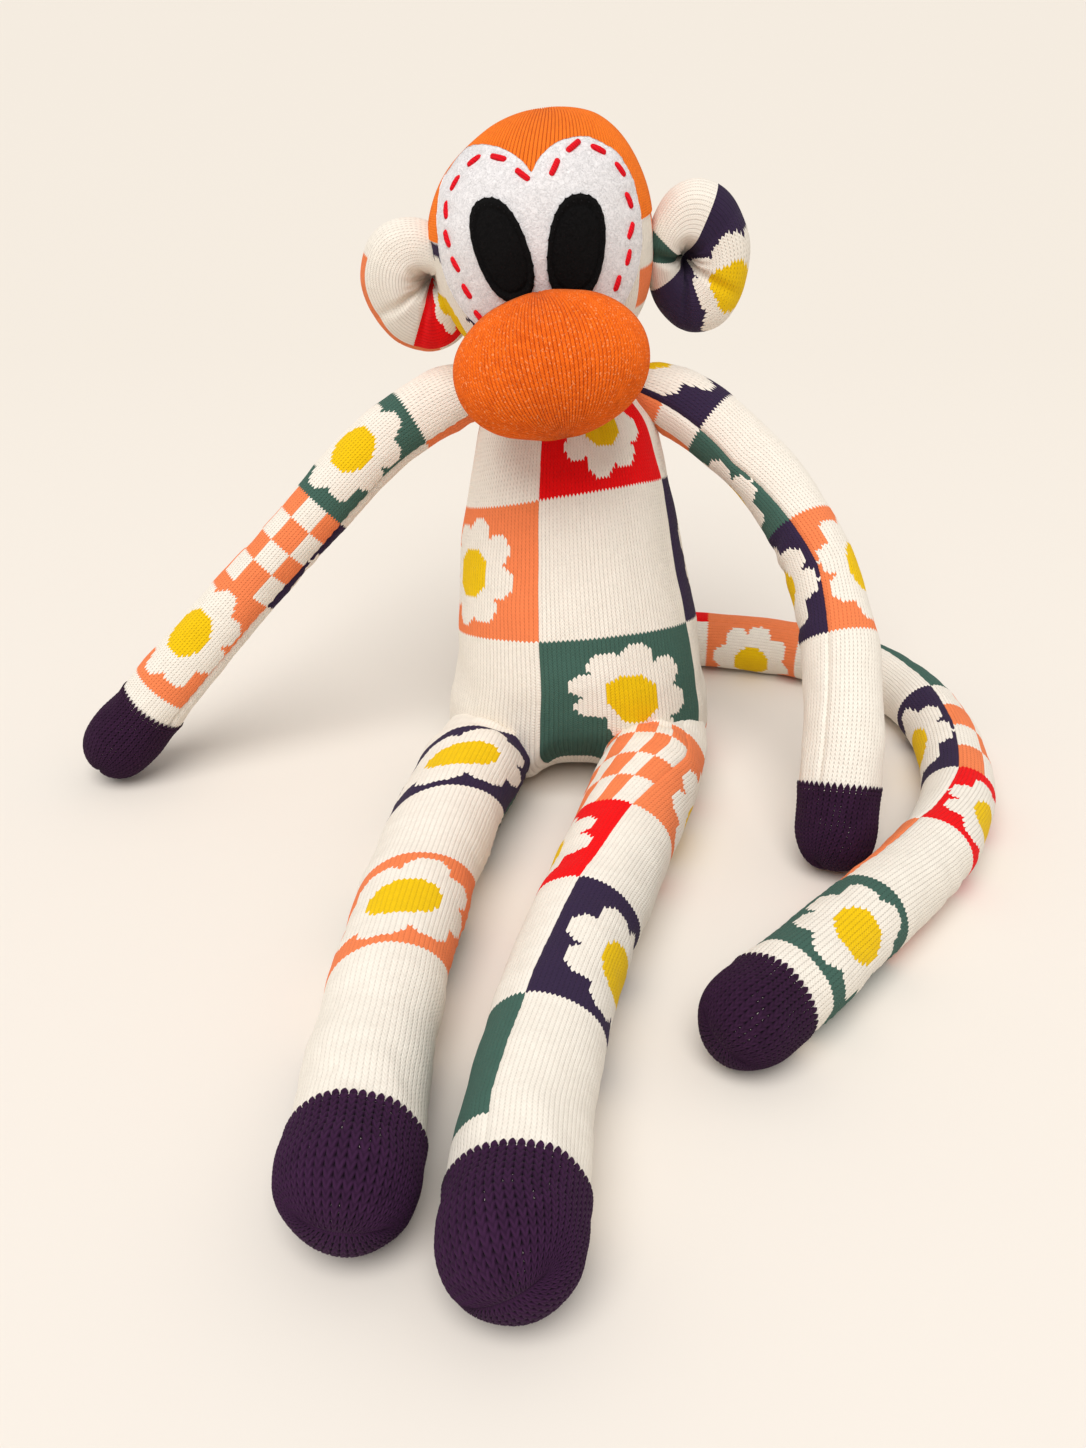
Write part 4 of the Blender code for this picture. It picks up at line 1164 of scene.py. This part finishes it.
def between_the_legs(places):
    """Lifts the cloth between the legs, where the slit sock arches over the floor."""
    x, y, z = places[:, 0], places[:, 1], places[:, 2]
    gap = np.exp(-(np.abs(x + 0.001) / 0.0145) ** 4)
    floor = np.clip((-y - 0.0128) * 0.614, 0.0, 0.0195) * gap
    lifted = floor + z * (1 - floor / 0.060)
    places[:, 2] = np.where(z < 0.060, np.maximum(lifted, z), z)
    return places


def torso_rise(v):
    """Share of the torso's height at a share of the sheet, 0 all over the base."""
    return np.clip((v * TORSO_ROWS - BASE_ROWS) / SIDE_ROWS, 0.0, 1.0) ** 1.12


def make_torso():
    cards = ("wwTwPw", "wwwPww", "wtTwRw", "ppwNww")
    material = sock_material("body_sock", cards, wales=40.0, wide=1.2)
    net = torso_net()

    def place(u, v):
        in_base = np.clip(v * TORSO_ROWS / BASE_ROWS, 0.0, 1.0)
        height = torso_rise(v) * (TORSO_HEIGHT + 0.0006)
        angle = torso_angle(u)
        bare, out = torso_surface(height, angle, in_base)
        gather = np.clip((height - 0.118) / 0.023, 0.0, 1.0) ** 2
        pleat = 0.0015 * gather * np.sin(26 * angle + 1.5 * np.sin(3 * angle))
        lump = 0.0007 * waves(bare, 0.045, 6) + 0.0003 * waves(bare, 0.016, 7)
        front_seam = -0.0005 * np.exp(-((u * 4 - 2) / 0.012) ** 2) * (height < 0.12)
        extra = (lump + ribs(u * 160) + front_seam) * in_base + pleat
        blown = read_net(net, u, height / TORSO_HEIGHT) * in_base[:, None]
        return rest_on_floor(between_the_legs(bare + out * extra[:, None] + blown))

    def knit(u, v):
        height = torso_rise(v) * TORSO_HEIGHT
        angle = torso_angle(u)
        belly = np.interp(height, [0.0, 0.03, 0.06, 0.12, 0.14], [0.0, 0.004, 0.0085, 0.0085, 0.0])
        lean = np.interp(height, [0.0, 0.063, 0.108, 0.14], [0.0, 0.0024, 0.0056, 0.0])
        along = height - belly * np.cos(angle) - lean * np.sin(angle)
        row = v * TORSO_ROWS
        along = np.where(row < BASE_ROWS, (row / BASE_ROWS - 1.0) * 0.03, along)
        column = np.interp(u * 360, [0.0, 90.0, 180.0, 263.0, 360.0], [0, 1, 2, 3, 4])
        return column, np.interp(along, [-0.03, 0.004, 0.018, 0.0583, 0.1031, 0.1525], [0, 1, 2, 3, 4, 5])

    piece = cloth_piece("body_cloth", 640, TORSO_ROWS, place, knit, material)
    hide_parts("torso", "neck")
    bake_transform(piece)


make_torso()

# %% [markdown]
# The head is an egg, fuller below, that leans to the doll's right. Its upper part, the crown, is the orange
# toe of the sock. Head and crown are two pieces of cloth, and one net is blown up for both.

# %% Head
HEAD_TILT = 6.5
HEAD_WIDTH, HEAD_DEPTH, CROWN_SHIFT = 0.0776, 0.076, 0.0065
JAW_HEIGHT, CROWN_HEIGHT = 0.0450, 0.0400
JAW_FULLNESS, CROWN_FULLNESS = 2.6, 1.95
FOOT_LEVEL, NECK_LEVEL, CROWN_LEVEL = -0.955, -0.945, 0.09
TILT = turning(-HEAD_TILT, "Y")
HEAD_FOOT = np.array([-0.0100, 0.0320, 0.1500])
HEAD_MIDDLE = HEAD_FOOT + TILT @ np.array([0.0, 0.0, -FOOT_LEVEL * JAW_HEIGHT])
HEAD_START = math.acos(-FOOT_LEVEL)
NET_TO_TOP = 0.16
NET_REACH = math.pi - NET_TO_TOP - HEAD_START


def head_ring(level):
    """Radius and sideways shift of the ring at a level, from -1 at the foot to 1 on the crown."""
    radius = egg_radius(level, np.where(level < 0, JAW_FULLNESS, CROWN_FULLNESS))
    return radius, CROWN_SHIFT * np.maximum(0.0, level) ** 2


def head_local(level, angle):
    """Places on the head in its own frame."""
    radius, shift = head_ring(level)
    x = shift + radius * (HEAD_WIDTH / 2) * np.sin(angle)
    y = -radius * (HEAD_DEPTH / 2) * np.cos(angle)
    return np.stack([x, y, level * np.where(level < 0, JAW_HEIGHT, CROWN_HEIGHT)], -1)


def to_world(places):
    return places @ TILT.T + HEAD_MIDDLE


def head_net():
    """One net over head and crown, from the neck to near the top. The face stays as it is."""

    def bare(u, v):
        return to_world(head_local(-np.cos(HEAD_START + v * NET_REACH), FULL_TURN * u))

    columns = 56
    net = padded_net("head_net", bare, 26, columns, 0.0010, 0.03)
    away = np.clip(0.9 - 1.4 * np.cos(np.arange(columns) / columns * FULL_TURN), 0.0, 1.0)
    return net * away[None, :, None]


def read_head_net(net, level, angle):
    share = (np.arccos(np.clip(-level, -1.0, 1.0)) - HEAD_START) / NET_REACH
    return read_net(net, np.mod(angle / FULL_TURN, 1.0), share)


def make_head(net):
    material = sock_material("head_sock", ("w", "N", "w", "c"), wales=40.0, wide=1.25)
    first = math.radians(-30.0 - 180.0)

    def place(u, v):
        level = -np.cos(HEAD_START + v * (math.pi - HEAD_START - np.arccos(CROWN_LEVEL)))
        angle = first + FULL_TURN * u
        bare = head_local(level, angle)
        gather = np.clip((-level - 0.80) / 0.155, 0.0, 1.0) ** 1.5
        extra = 0.0006 * waves(bare, 0.03, 8) + 0.0010 * gather * np.sin(26 * angle) + ribs(u * 160)
        return to_world(bare + unit(bare) * extra[:, None]) + read_head_net(net, level, angle)

    piece = cloth_piece("head_cloth", 640, 60, place, lambda u, v: (u * 4.0, v), material)
    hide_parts("head")
    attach(piece, "head")


def make_crown(net):
    """The wales run up over the brow and meet behind the top, where the toe of the sock was closed."""

    def place(u, v):
        rim = np.stack([np.sin(FULL_TURN * u), -np.cos(FULL_TURN * u)], -1)
        spot = rim * (1 - v)[:, None] + np.array([0.0, 0.70]) * v[:, None]
        from_top = np.linalg.norm(spot, axis=1) * (math.pi / 2 - np.arcsin(CROWN_LEVEL))
        level, angle = np.cos(from_top), np.arctan2(spot[:, 0], -spot[:, 1])
        bare = head_local(level, angle)
        wales = 5.0 * ribs(u * 160) * np.clip(4.0 - 4.0 * v, 0.0, 1.0)
        extra = (0.0004 + 0.0004 * waves(bare, 0.03, 9) + wales) * (1 - v**20)
        return to_world(bare + unit(bare) * extra[:, None]) + read_head_net(net, level, angle)

    def knit(u, v):
        return u * 160, v * 90

    piece = cloth_piece("crown_knit", 640, 72, place, knit, CROWN_KNIT)
    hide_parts("crown")
    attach(piece, "head")


whole_head_net = head_net()
make_head(whole_head_net)
make_crown(whole_head_net)

# %% [markdown]
# Between head and body the sock is drawn in by a gathering thread, so short pleats run into the neck.

# %% Neck
def make_neck():
    """The gathered cloth between the body and the head."""
    material = sock_material("neck_sock", ("w", "r", "w", "w"), wales=40.0)

    def head_end(angle):
        return to_world(head_local(np.full(len(angle), NECK_LEVEL), angle))

    centre = head_end(torso_angle(np.arange(192) / 192)).mean(0)

    def place(u, v):
        angle = torso_angle(u)
        low, out = torso_surface(np.full(len(u), TORSO_HEIGHT), angle, 0.97)
        low[:, 2] += 0.0002
        places = low + (head_end(angle) - low) * v[:, None]
        pleat = 0.0012 * np.sin(26 * angle + 1.5 * np.sin(3 * angle) * (1 - v))
        pleat *= 0.6 + 0.4 * np.abs(2 * v - 1)
        middle = TORSO_TOP + (centre - TORSO_TOP) * v[:, None]
        inward = places - middle
        inward[:, 2] = 0.0
        pinch = 0.10 * np.sin(np.pi * v)
        return places - inward * pinch[:, None] + out * pleat[:, None]

    def knit(u, v):
        return u * 4.0, v * 0.2 + 0.4

    piece = cloth_piece("neck_gather", 240, 12, place, knit, material)
    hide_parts("neck_fold")
    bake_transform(piece)


make_neck()

# %% [markdown]
# The muzzle is the heel of the sock, stuffed round and sewn on the face, in the orange yarn of the crown.

# %% Muzzle
MUZZLE_WALES, MUZZLE_COURSES = 148, 68
MUZZLE_HALF = np.array([0.0324, 0.0264, 0.0233])
MUZZLE_FROM, MUZZLE_REACH = 0.06, 0.88


def muzzle_cup(u, v):
    """The cup before its lumps, about its own middle. Its wales run from one of its sides to the other."""
    rise = (v - 0.5) * math.pi
    angle = FULL_TURN * u
    way = np.stack([np.sin(angle) * np.cos(rise), -np.cos(angle) * np.cos(rise), np.sin(rise)], -1)
    way = way @ turning(-24.0, "X").T
    disc = way[:, 0] ** 2 + way[:, 2] ** 2
    scale = (disc**1.125 + np.abs(way[:, 1]) ** 2.25) ** (-1 / 2.25)
    return way * scale[:, None] * MUZZLE_HALF


def make_muzzle():
    turn = turning(-11.5, "Y")
    base = to_world(np.array([[0.0, -0.052, -0.033]]))[0]

    def bare(u, v):
        return muzzle_cup(u, MUZZLE_FROM + MUZZLE_REACH * v) @ turn.T + base

    net = padded_net("muzzle_net", bare, 22, 48, 0.0010, 0.03)

    def place(u, v):
        local = muzzle_cup(u, v)
        middle = np.sin(v * math.pi)
        fine = np.clip(middle * 2.2, 0.0, 1.0)
        extra = (0.0007 * waves(local, 0.028, 10) + 4.2 * ribs(u * MUZZLE_WALES)) * fine
        gather = np.exp(-((1 - np.abs(np.cos(v * math.pi))) / 0.03))
        extra += 0.0005 * gather * np.sin(28 * math.pi * u) * np.clip(middle * 6, 0.0, 1.0)
        blown = read_net(net, u, (v - MUZZLE_FROM) / MUZZLE_REACH)
        return (local + unit(local) * extra[:, None]) @ turn.T + base + blown

    def knit(u, v):
        return u * MUZZLE_WALES, v * MUZZLE_COURSES

    columns = MUZZLE_WALES * ROUND_WALE
    piece = cloth_piece("muzzle_knit", columns, 64, place, knit, ORANGE_KNIT)
    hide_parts("muzzle")
    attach(piece, "head")


make_muzzle()

# %% [markdown]
# Ears are a short stuffed roll each, curled round until its ends meet. So the wales run round the ear, and
# the dimple that is left lies nearer to the head, with creases that run out from it. The pattern card of an
# ear has one column for its front and one for its back, and its rows are sectors of unequal width.

# %% Ears
EARS = {
    "right": {"width": 0.0392, "height": 0.0480, "out": 0.0460, "down": 0.0135, "tilt": 17.0,
              "front": 0.0280, "sectors": (336.0, 262.0, 233.0, 200.0, 130.0, -24.0),
              "cards": ("Rrwww", "wpppw"),
              "creases": ((10.0, 0.0058), (188.0, 0.0030), (240.0, 0.0022))},
    "left": {"width": 0.0368, "height": 0.0530, "out": 0.0550, "down": 0.0150, "tilt": 2.0,
             "front": 0.0490, "sectors": (66.0, 38.0, -98.0, -160.0, -183.0, -207.0, -294.0),
             "cards": ("nNnwtw", "nnnwtw"),
             "creases": ((172.0, 0.0058), (-32.0, 0.0026), (-110.0, 0.0020))},
}
EAR_PROFILE = (
    (0.0, 0.0, 0.30), (0.10, 0.10, 0.50), (0.22, 0.26, 0.86), (0.34, 0.48, 1.0), (0.45, 0.74, 0.86),
    (0.55, 0.93, 0.48), (0.63, 1.0, 0.0), (0.71, 0.93, -0.48), (0.81, 0.74, -0.84), (0.91, 0.40, -0.90),
    (1.0, 0.0, -0.78),
)


EAR_ACROSS = 0.0523
HIDDEN_FROM = 0.63
EAR_FROM, EAR_REACH = 0.06, 0.86


def make_ear(side):
    ear = EARS[side]
    sign = TO_SIDE[side]
    wales = {"right": 26.0, "left": 38.0}[side]
    material = sock_material(side + "_ear_sock", ear["cards"], wales=wales, courses=30.0, checks=3.0)
    turn = turning(sign * ear["tilt"] - HEAD_TILT, "Y")
    middle = to_world(np.array([[sign * ear["out"], 0.0010, -ear["down"]]]))[0]
    first = math.radians(ear["sectors"][0])

    def roll(u, v):
        """The curled roll with its dimple and creases, before the small lumps."""
        angle = first - FULL_TURN * u
        radius = read_smooth(v, EAR_PROFILE, 1)
        to_head = -sign * 0.0050 * np.clip(1.0 - radius, 0.0, 1.0) * (v < HIDDEN_FROM)
        x = np.cos(angle) * radius * ear["width"] / 2 + to_head
        z = np.sin(angle) * radius * ear["height"] / 2
        sunk = 0.0074 * np.exp(-(radius / 0.19) ** 2)
        for way, deep in ear["creases"]:
            across = np.abs(wrapped(angle - math.radians(way))) * (0.25 + radius) * 0.019
            ends = np.clip(1.15 - radius, 0.0, 1.0) * np.clip(radius * 6, 0.0, 1.0)
            sunk += 1.2 * deep * np.exp(-(across / 0.0018) ** 2) * ends
        y = -read_smooth(v, EAR_PROFILE, 2) * 0.0105 + np.where(v < HIDDEN_FROM, 1.0, -0.35) * sunk
        return np.stack([x, y, z], -1)

    def on_head(places):
        return places @ turn.T + middle

    def bare_roll(u, v):
        return on_head(roll(u, EAR_FROM + EAR_REACH * v))

    net = padded_net(side + "_ear_net", bare_roll, 26, 40, 0.0008, 0.04)

    def place(u, v):
        angle = first - FULL_TURN * u
        radius = read_smooth(v, EAR_PROFILE, 1)
        bare = roll(u, v)
        pucker = 0.00050 * np.sin(angle * 13 + 3 * np.sin(angle * 2)) * np.exp(-((v - 0.16) / 0.09) ** 2)
        extra = 0.0006 * waves(bare, 0.02, 11) + pucker + 0.6 * ribs(v * wales * EAR_ACROSS / ear["front"])
        extra *= np.clip(radius * 4, 0, 1)
        blown = read_net(net, u, (v - EAR_FROM) / EAR_REACH)
        return on_head(bare + unit(bare) * extra[:, None]) + blown

    def knit(u, v):
        angle = ear["sectors"][0] - 360.0 * u
        row = np.interp(-angle, [-s for s in ear["sectors"]], np.arange(len(ear["sectors"])))
        return v * EAR_ACROSS / ear["front"], row

    piece = cloth_piece(side + "_ear_cloth", 144, 176, place, knit, material)
    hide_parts(side + "_ear", side + "_ear_root")
    seam = to_world(np.array([[sign * 0.0375, 0.001, -ear["down"]], [sign * 0.0425, 0.001, -ear["down"]]]))
    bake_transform(piece)


for side in ("right", "left"):
    make_ear(side)

# %% [markdown]
# The face is cut from felt: a white mask with two lobes, and two black ovals. Felt is fibres pressed flat,
# so it has no weave, only a soft grain and a slightly furry edge. Each is a closed pad, thin as felt.

# %% Felt
def felt_material(name, colour, grain, height, sheen):
    material, nodes, shader = new_material(name)
    fibre = nodes.noise(Scale=820.0, Detail=6.0, Roughness=0.65, Distortion=1.5)
    cloud = nodes.noise(Scale=110.0, Detail=3.0)
    even = fibre * 0.9 + cloud * 0.1
    dark = tuple(c * (1 - grain) for c in colour[:3]) + (1.0,)
    nodes.join(nodes.mix(nodes.ramp(even, 0.36, 0.58), dark, colour), shader.inputs["Base Color"])
    nodes.raise_by(shader, even, height, 0.7)
    soft_cloth(shader, 0.95, sheen)
    return material


WHITE_FELT = felt_material("white_felt_cloth", (0.93, 0.895, 0.895, 1.0), 0.28, 0.0012, 0.03)
BLACK_FELT = felt_material("black_felt_cloth", (0.0055, 0.0050, 0.0052, 1.0), 0.7, 0.0014, 0.0)


def face_place(x, z, extra):
    """Where a point of the face lies on the head, so far above its cloth."""
    height = np.where(z < 0, JAW_HEIGHT, CROWN_HEIGHT)
    level = np.clip(z / height, -0.999, 0.999)
    radius, shift = head_ring(level)
    share = np.clip((x - shift) / (radius * HEAD_WIDTH / 2), -0.995, 0.995)
    angle = np.arcsin(share)
    surface = head_local(level, angle)
    across, ahead = np.sin(angle) / (HEAD_WIDTH / 2), -np.cos(angle) / (HEAD_DEPTH / 2)
    normal = unit(np.stack([across, ahead, level**3 / height], -1))
    return surface + normal * np.broadcast_to(extra, level.shape)[:, None]


def felt_waves(x, z, size, seed):
    return waves(np.stack([x, z, np.zeros(len(x))], -1), size, seed)


def felt_pad(name, outline, base, thick, material, relief):
    """Felt cut to an outline and laid on the face. relief takes x, z and how near they are to the edge."""
    centre = [line.mean() for line in outline(np.linspace(0, 1, 200))]

    def place(u, v):
        x, z = outline(u)
        reach = np.interp(v, [0.0, 0.80, 0.90, 1.0], [0.0, 1.0, 1.0, 0.0])
        px, pz = centre[0] + (x - centre[0]) * reach, centre[1] + (z - centre[1]) * reach
        edge = np.clip((v - 0.76) / 0.04, 0.0, 1.0)
        lift = np.interp(v, [0.0, 0.80, 0.90, 1.0], [thick, thick, 0.0, 0.0])
        extra = base + lift - 0.30 * thick * edge * edge * (v <= 0.8)
        extra += relief(px, pz, reach) * (v < 0.82)
        return to_world(face_place(px, pz, extra))

    piece = cloth_piece(name, 220, 100, place, lambda u, v: (u, v), material, sharp=60.0)
    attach(piece, "head")
    return piece


print("felt:", WHITE_FELT.name, BLACK_FELT.name)

# %% [markdown]
# The mask lies on the head's cloth. Each red stitch draws it down, so its edge rises a little between two
# stitches and its face is never quite flat.

# %% Mask
MASK_UPPER = (
    (0.00, 0.765), (0.055, 0.84), (0.14, 0.915), (0.27, 0.98), (0.43, 1.00), (0.58, 0.968), (0.74, 0.865),
    (0.875, 0.71), (0.965, 0.465), (1.00, 0.19),
)
MASK_LOWER = (
    (0.995, 0.08), (0.94, 0.38), (0.85, 0.62), (0.72, 0.83), (0.50, 0.955), (0.25, 1.00), (0.00, 1.00),
)
HALF_MASK, MASK_TOP, MASK_FOOT = 0.0335, 0.0322, -0.027
# Each stitch: how far across and up its middle lies, in millimetres, and its angle in degrees.
RED_STITCHES = np.array((
    (-22.4, -19.6, 125), (-25.6, -10.8, 116), (-28.2, -2.0, 115), (-30.0, 6.1, 102), (-29.2, 14.6, 84),
    (-25.2, 22.2, 52), (-18.0, 28.2, 30), (-10.0, 29.0, -12), (-2.9, 24.2, -39), (7.4, 25.2, 55),
    (13.9, 29.9, 27), (21.6, 27.6, -33), (28.0, 20.7, -59), (30.0, 11.2, -74), (29.7, 1.9, 65),
    (28.1, -6.3, 72), (23.8, -13.7, 67),
))
STITCH_PLACES = RED_STITCHES[:, :2] / 1000
STITCH_TURNS = np.radians(RED_STITCHES[:, 2])


def smooth_line(points, count):
    """Even places along a smooth closed line through points."""
    whole = np.array(points)
    ring = np.vstack([whole[-2:], whole, whole[:3]])
    fine = []
    for i in range(1, len(whole) + 1):
        for t in np.arange(12) / 12:
            a, b, c, d = ring[i : i + 4]
            cubic = 2 * b + (c - a) * t + (2 * a - 5 * b + 4 * c - d) * t * t
            fine.append((cubic + (3 * b - a - 3 * c + d) * t**3) / 2)
    fine = np.array(fine + [fine[0]])
    at = np.concatenate([[0.0], np.cumsum(np.linalg.norm(np.diff(fine, axis=0), axis=1))])
    even = np.linspace(0, at[-1], count)
    return np.stack([np.interp(even, at, fine[:, k]) for k in (0, 1)], -1)


MASK_HALF = [(HALF_MASK * x, MASK_TOP * z) for x, z in MASK_UPPER]
MASK_HALF += [(HALF_MASK * x, MASK_FOOT * z) for x, z in MASK_LOWER]
MASK_LINE = smooth_line(MASK_HALF + [(-x, z) for x, z in reversed(MASK_HALF[1:-1])], 721)


def mask_outline(u):
    at = u * (len(MASK_LINE) - 1)
    whole = np.arange(len(MASK_LINE))
    fur = 1.0 + 0.0016 * np.sin(u * FULL_TURN * 83) + 0.0012 * np.sin(u * FULL_TURN * 51 + 1.0)
    return np.interp(at, whole, MASK_LINE[:, 0]) * fur, np.interp(at, whole, MASK_LINE[:, 1]) * fur


def mask_relief(x, z, reach):
    pulled = np.zeros(len(x))
    for across, up in STITCH_PLACES:
        pulled = np.maximum(pulled, np.exp(-((x - across) ** 2 + (z - up) ** 2) / 0.0034**2))
    raised = 0.0010 * np.clip(reach - 0.6, 0.0, 1.0) * (1 - 1.8 * pulled)
    return raised + 0.00025 * felt_waves(x, z, 0.014, 12)


mask = felt_pad("felt_mask", mask_outline, 0.0003, 0.0012, WHITE_FELT, mask_relief)
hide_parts("face_mask")

# %% [markdown]
# The eyes are long ovals with flat sides. Small black stitches over the edge hold them, which leaves a low
# rim inside the edge and draws the edge in a little at each stitch.

# %% Eyes
EYES = {
    "right": {"at": (-0.01180, 0.0022), "half": (0.00840, 0.0168), "lean": -13.0},
    "left": {"at": (0.01130, 0.0004), "half": (0.00900, 0.0168), "lean": 11.0},
}


EYE_STITCHES = 26


def eye_outline(side):
    eye = EYES[side]
    lean = math.radians(eye["lean"])

    def outline(u):
        c, s = np.cos(FULL_TURN * u), np.sin(FULL_TURN * u)
        pull = 1.0 - 0.012 * (0.5 + 0.5 * np.cos(u * FULL_TURN * EYE_STITCHES))
        x = eye["half"][0] * np.sign(c) * np.abs(c) ** 0.86 * pull
        z = eye["half"][1] * np.sign(s) * np.abs(s) ** 0.86 * pull
        right, up = x * math.cos(lean) + z * math.sin(lean), z * math.cos(lean) - x * math.sin(lean)
        return eye["at"][0] + right, eye["at"][1] + up

    return outline


def eye_relief(x, z, reach):
    rim = np.exp(-((reach - 0.93) / 0.05) ** 2) - np.exp(-((reach - 0.80) / 0.04) ** 2)
    return 0.0004 * rim + 0.00012 * felt_waves(x, z, 0.010, 13)


for side in ("right", "left"):
    outline = eye_outline(side)
    eye = felt_pad(side + "_felt_eye", outline, 0.0016, 0.0012, BLACK_FELT, eye_relief)
    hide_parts(side + "_eye")

# %% [markdown]
# Hand stitches are short beads of thread with round ends that go down into the cloth. One helper lays a
# bead from one place to another, and serves the red stitches of the mask and the black ones of the eyes.

# %% Stitches
def thread_material(name, colour):
    material, nodes, shader = new_material(name)
    place = nodes.object_place()
    # Painted shade: darker diagonal bands stand for the grooves between the twisted plies.
    ply_shade = nodes.add("ShaderNodeTexWave", bands_direction="DIAGONAL", Vector=place, Scale=420.0)
    dark = tuple(c * 0.7 for c in colour[:3]) + (1.0,)
    nodes.join(nodes.mix(ply_shade.outputs["Fac"], dark, colour), shader.inputs["Base Color"])
    soft_cloth(shader, 0.8)
    return material


def lay_bead(bm, a, b, out, thick):
    """A bead of thread from a to b that stands proud along out in its middle."""
    a, b, out = Vector(a), Vector(b), Vector(out).normalized()
    ahead = (b - a).normalized()
    across = ahead.cross(out).normalized()
    half = (b - a).length / 2
    made = bmesh.ops.create_uvsphere(bm, u_segments=12, v_segments=14, radius=1.0)
    for vert in made["verts"]:
        x, y, z = vert.co
        along = half * z / max(abs(z), 1e-6) * min(1.0, abs(z) * 4.0) + thick * z
        bow = 0.5 * thick * (1 - min(1.0, abs(along) / (half + thick)) ** 2)
        proud = y * thick * 0.8 + bow - 0.2 * thick
        vert.co = (a + b) / 2 + ahead * along + across * (x * thick) + out * proud


def stitch_piece(name, beads, material, body):
    bm = bmesh.new()
    for a, b, out, thick in beads:
        lay_bead(bm, a, b, out, thick)
    bmesh.ops.recalc_face_normals(bm, faces=bm.faces)
    mesh = mesh_of(bm, name)
    mesh.shade_smooth()
    mesh.materials.append(material)
    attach(put_in_scene(name, mesh), body)
    print(name, len(beads), "stitches")


def on_face(points, extra):
    low = to_world(face_place(points[:, 0], points[:, 1], extra))
    high = to_world(face_place(points[:, 0], points[:, 1], extra + 0.001))
    return low, high - low


def mask_beads():
    beads = []
    for spot, turn in zip(STITCH_PLACES, STITCH_TURNS):
        ahead = np.array([math.cos(turn), math.sin(turn)])
        low, out = on_face(np.array([spot - ahead * 0.0018, spot + ahead * 0.0018]), 0.0014)
        beads.append((low[0], low[1], out[0] + out[1], 0.00105))
    return beads


def eye_beads():
    beads = []
    for side in ("right", "left"):
        centre = np.array(EYES[side]["at"])
        edge = np.stack(eye_outline(side)((np.arange(EYE_STITCHES) + 0.5) / EYE_STITCHES), -1)
        inner, out = on_face(centre + (edge - centre) * 0.88, 0.0030)
        outer, _ = on_face(centre + (edge - centre) * 1.005, 0.0019)
        beads += [(a, b, way, 0.00024) for a, b, way in zip(inner, outer, out)]
    return beads


RED_THREAD = thread_material("red_thread", (0.80, 0.005, 0.015, 1.0))
stitch_piece("mask_stitches", mask_beads(), RED_THREAD, "head")
BLACK_THREAD = thread_material("black_thread", (0.010, 0.009, 0.010, 1.0))
stitch_piece("eye_stitches", eye_beads(), BLACK_THREAD, "head")
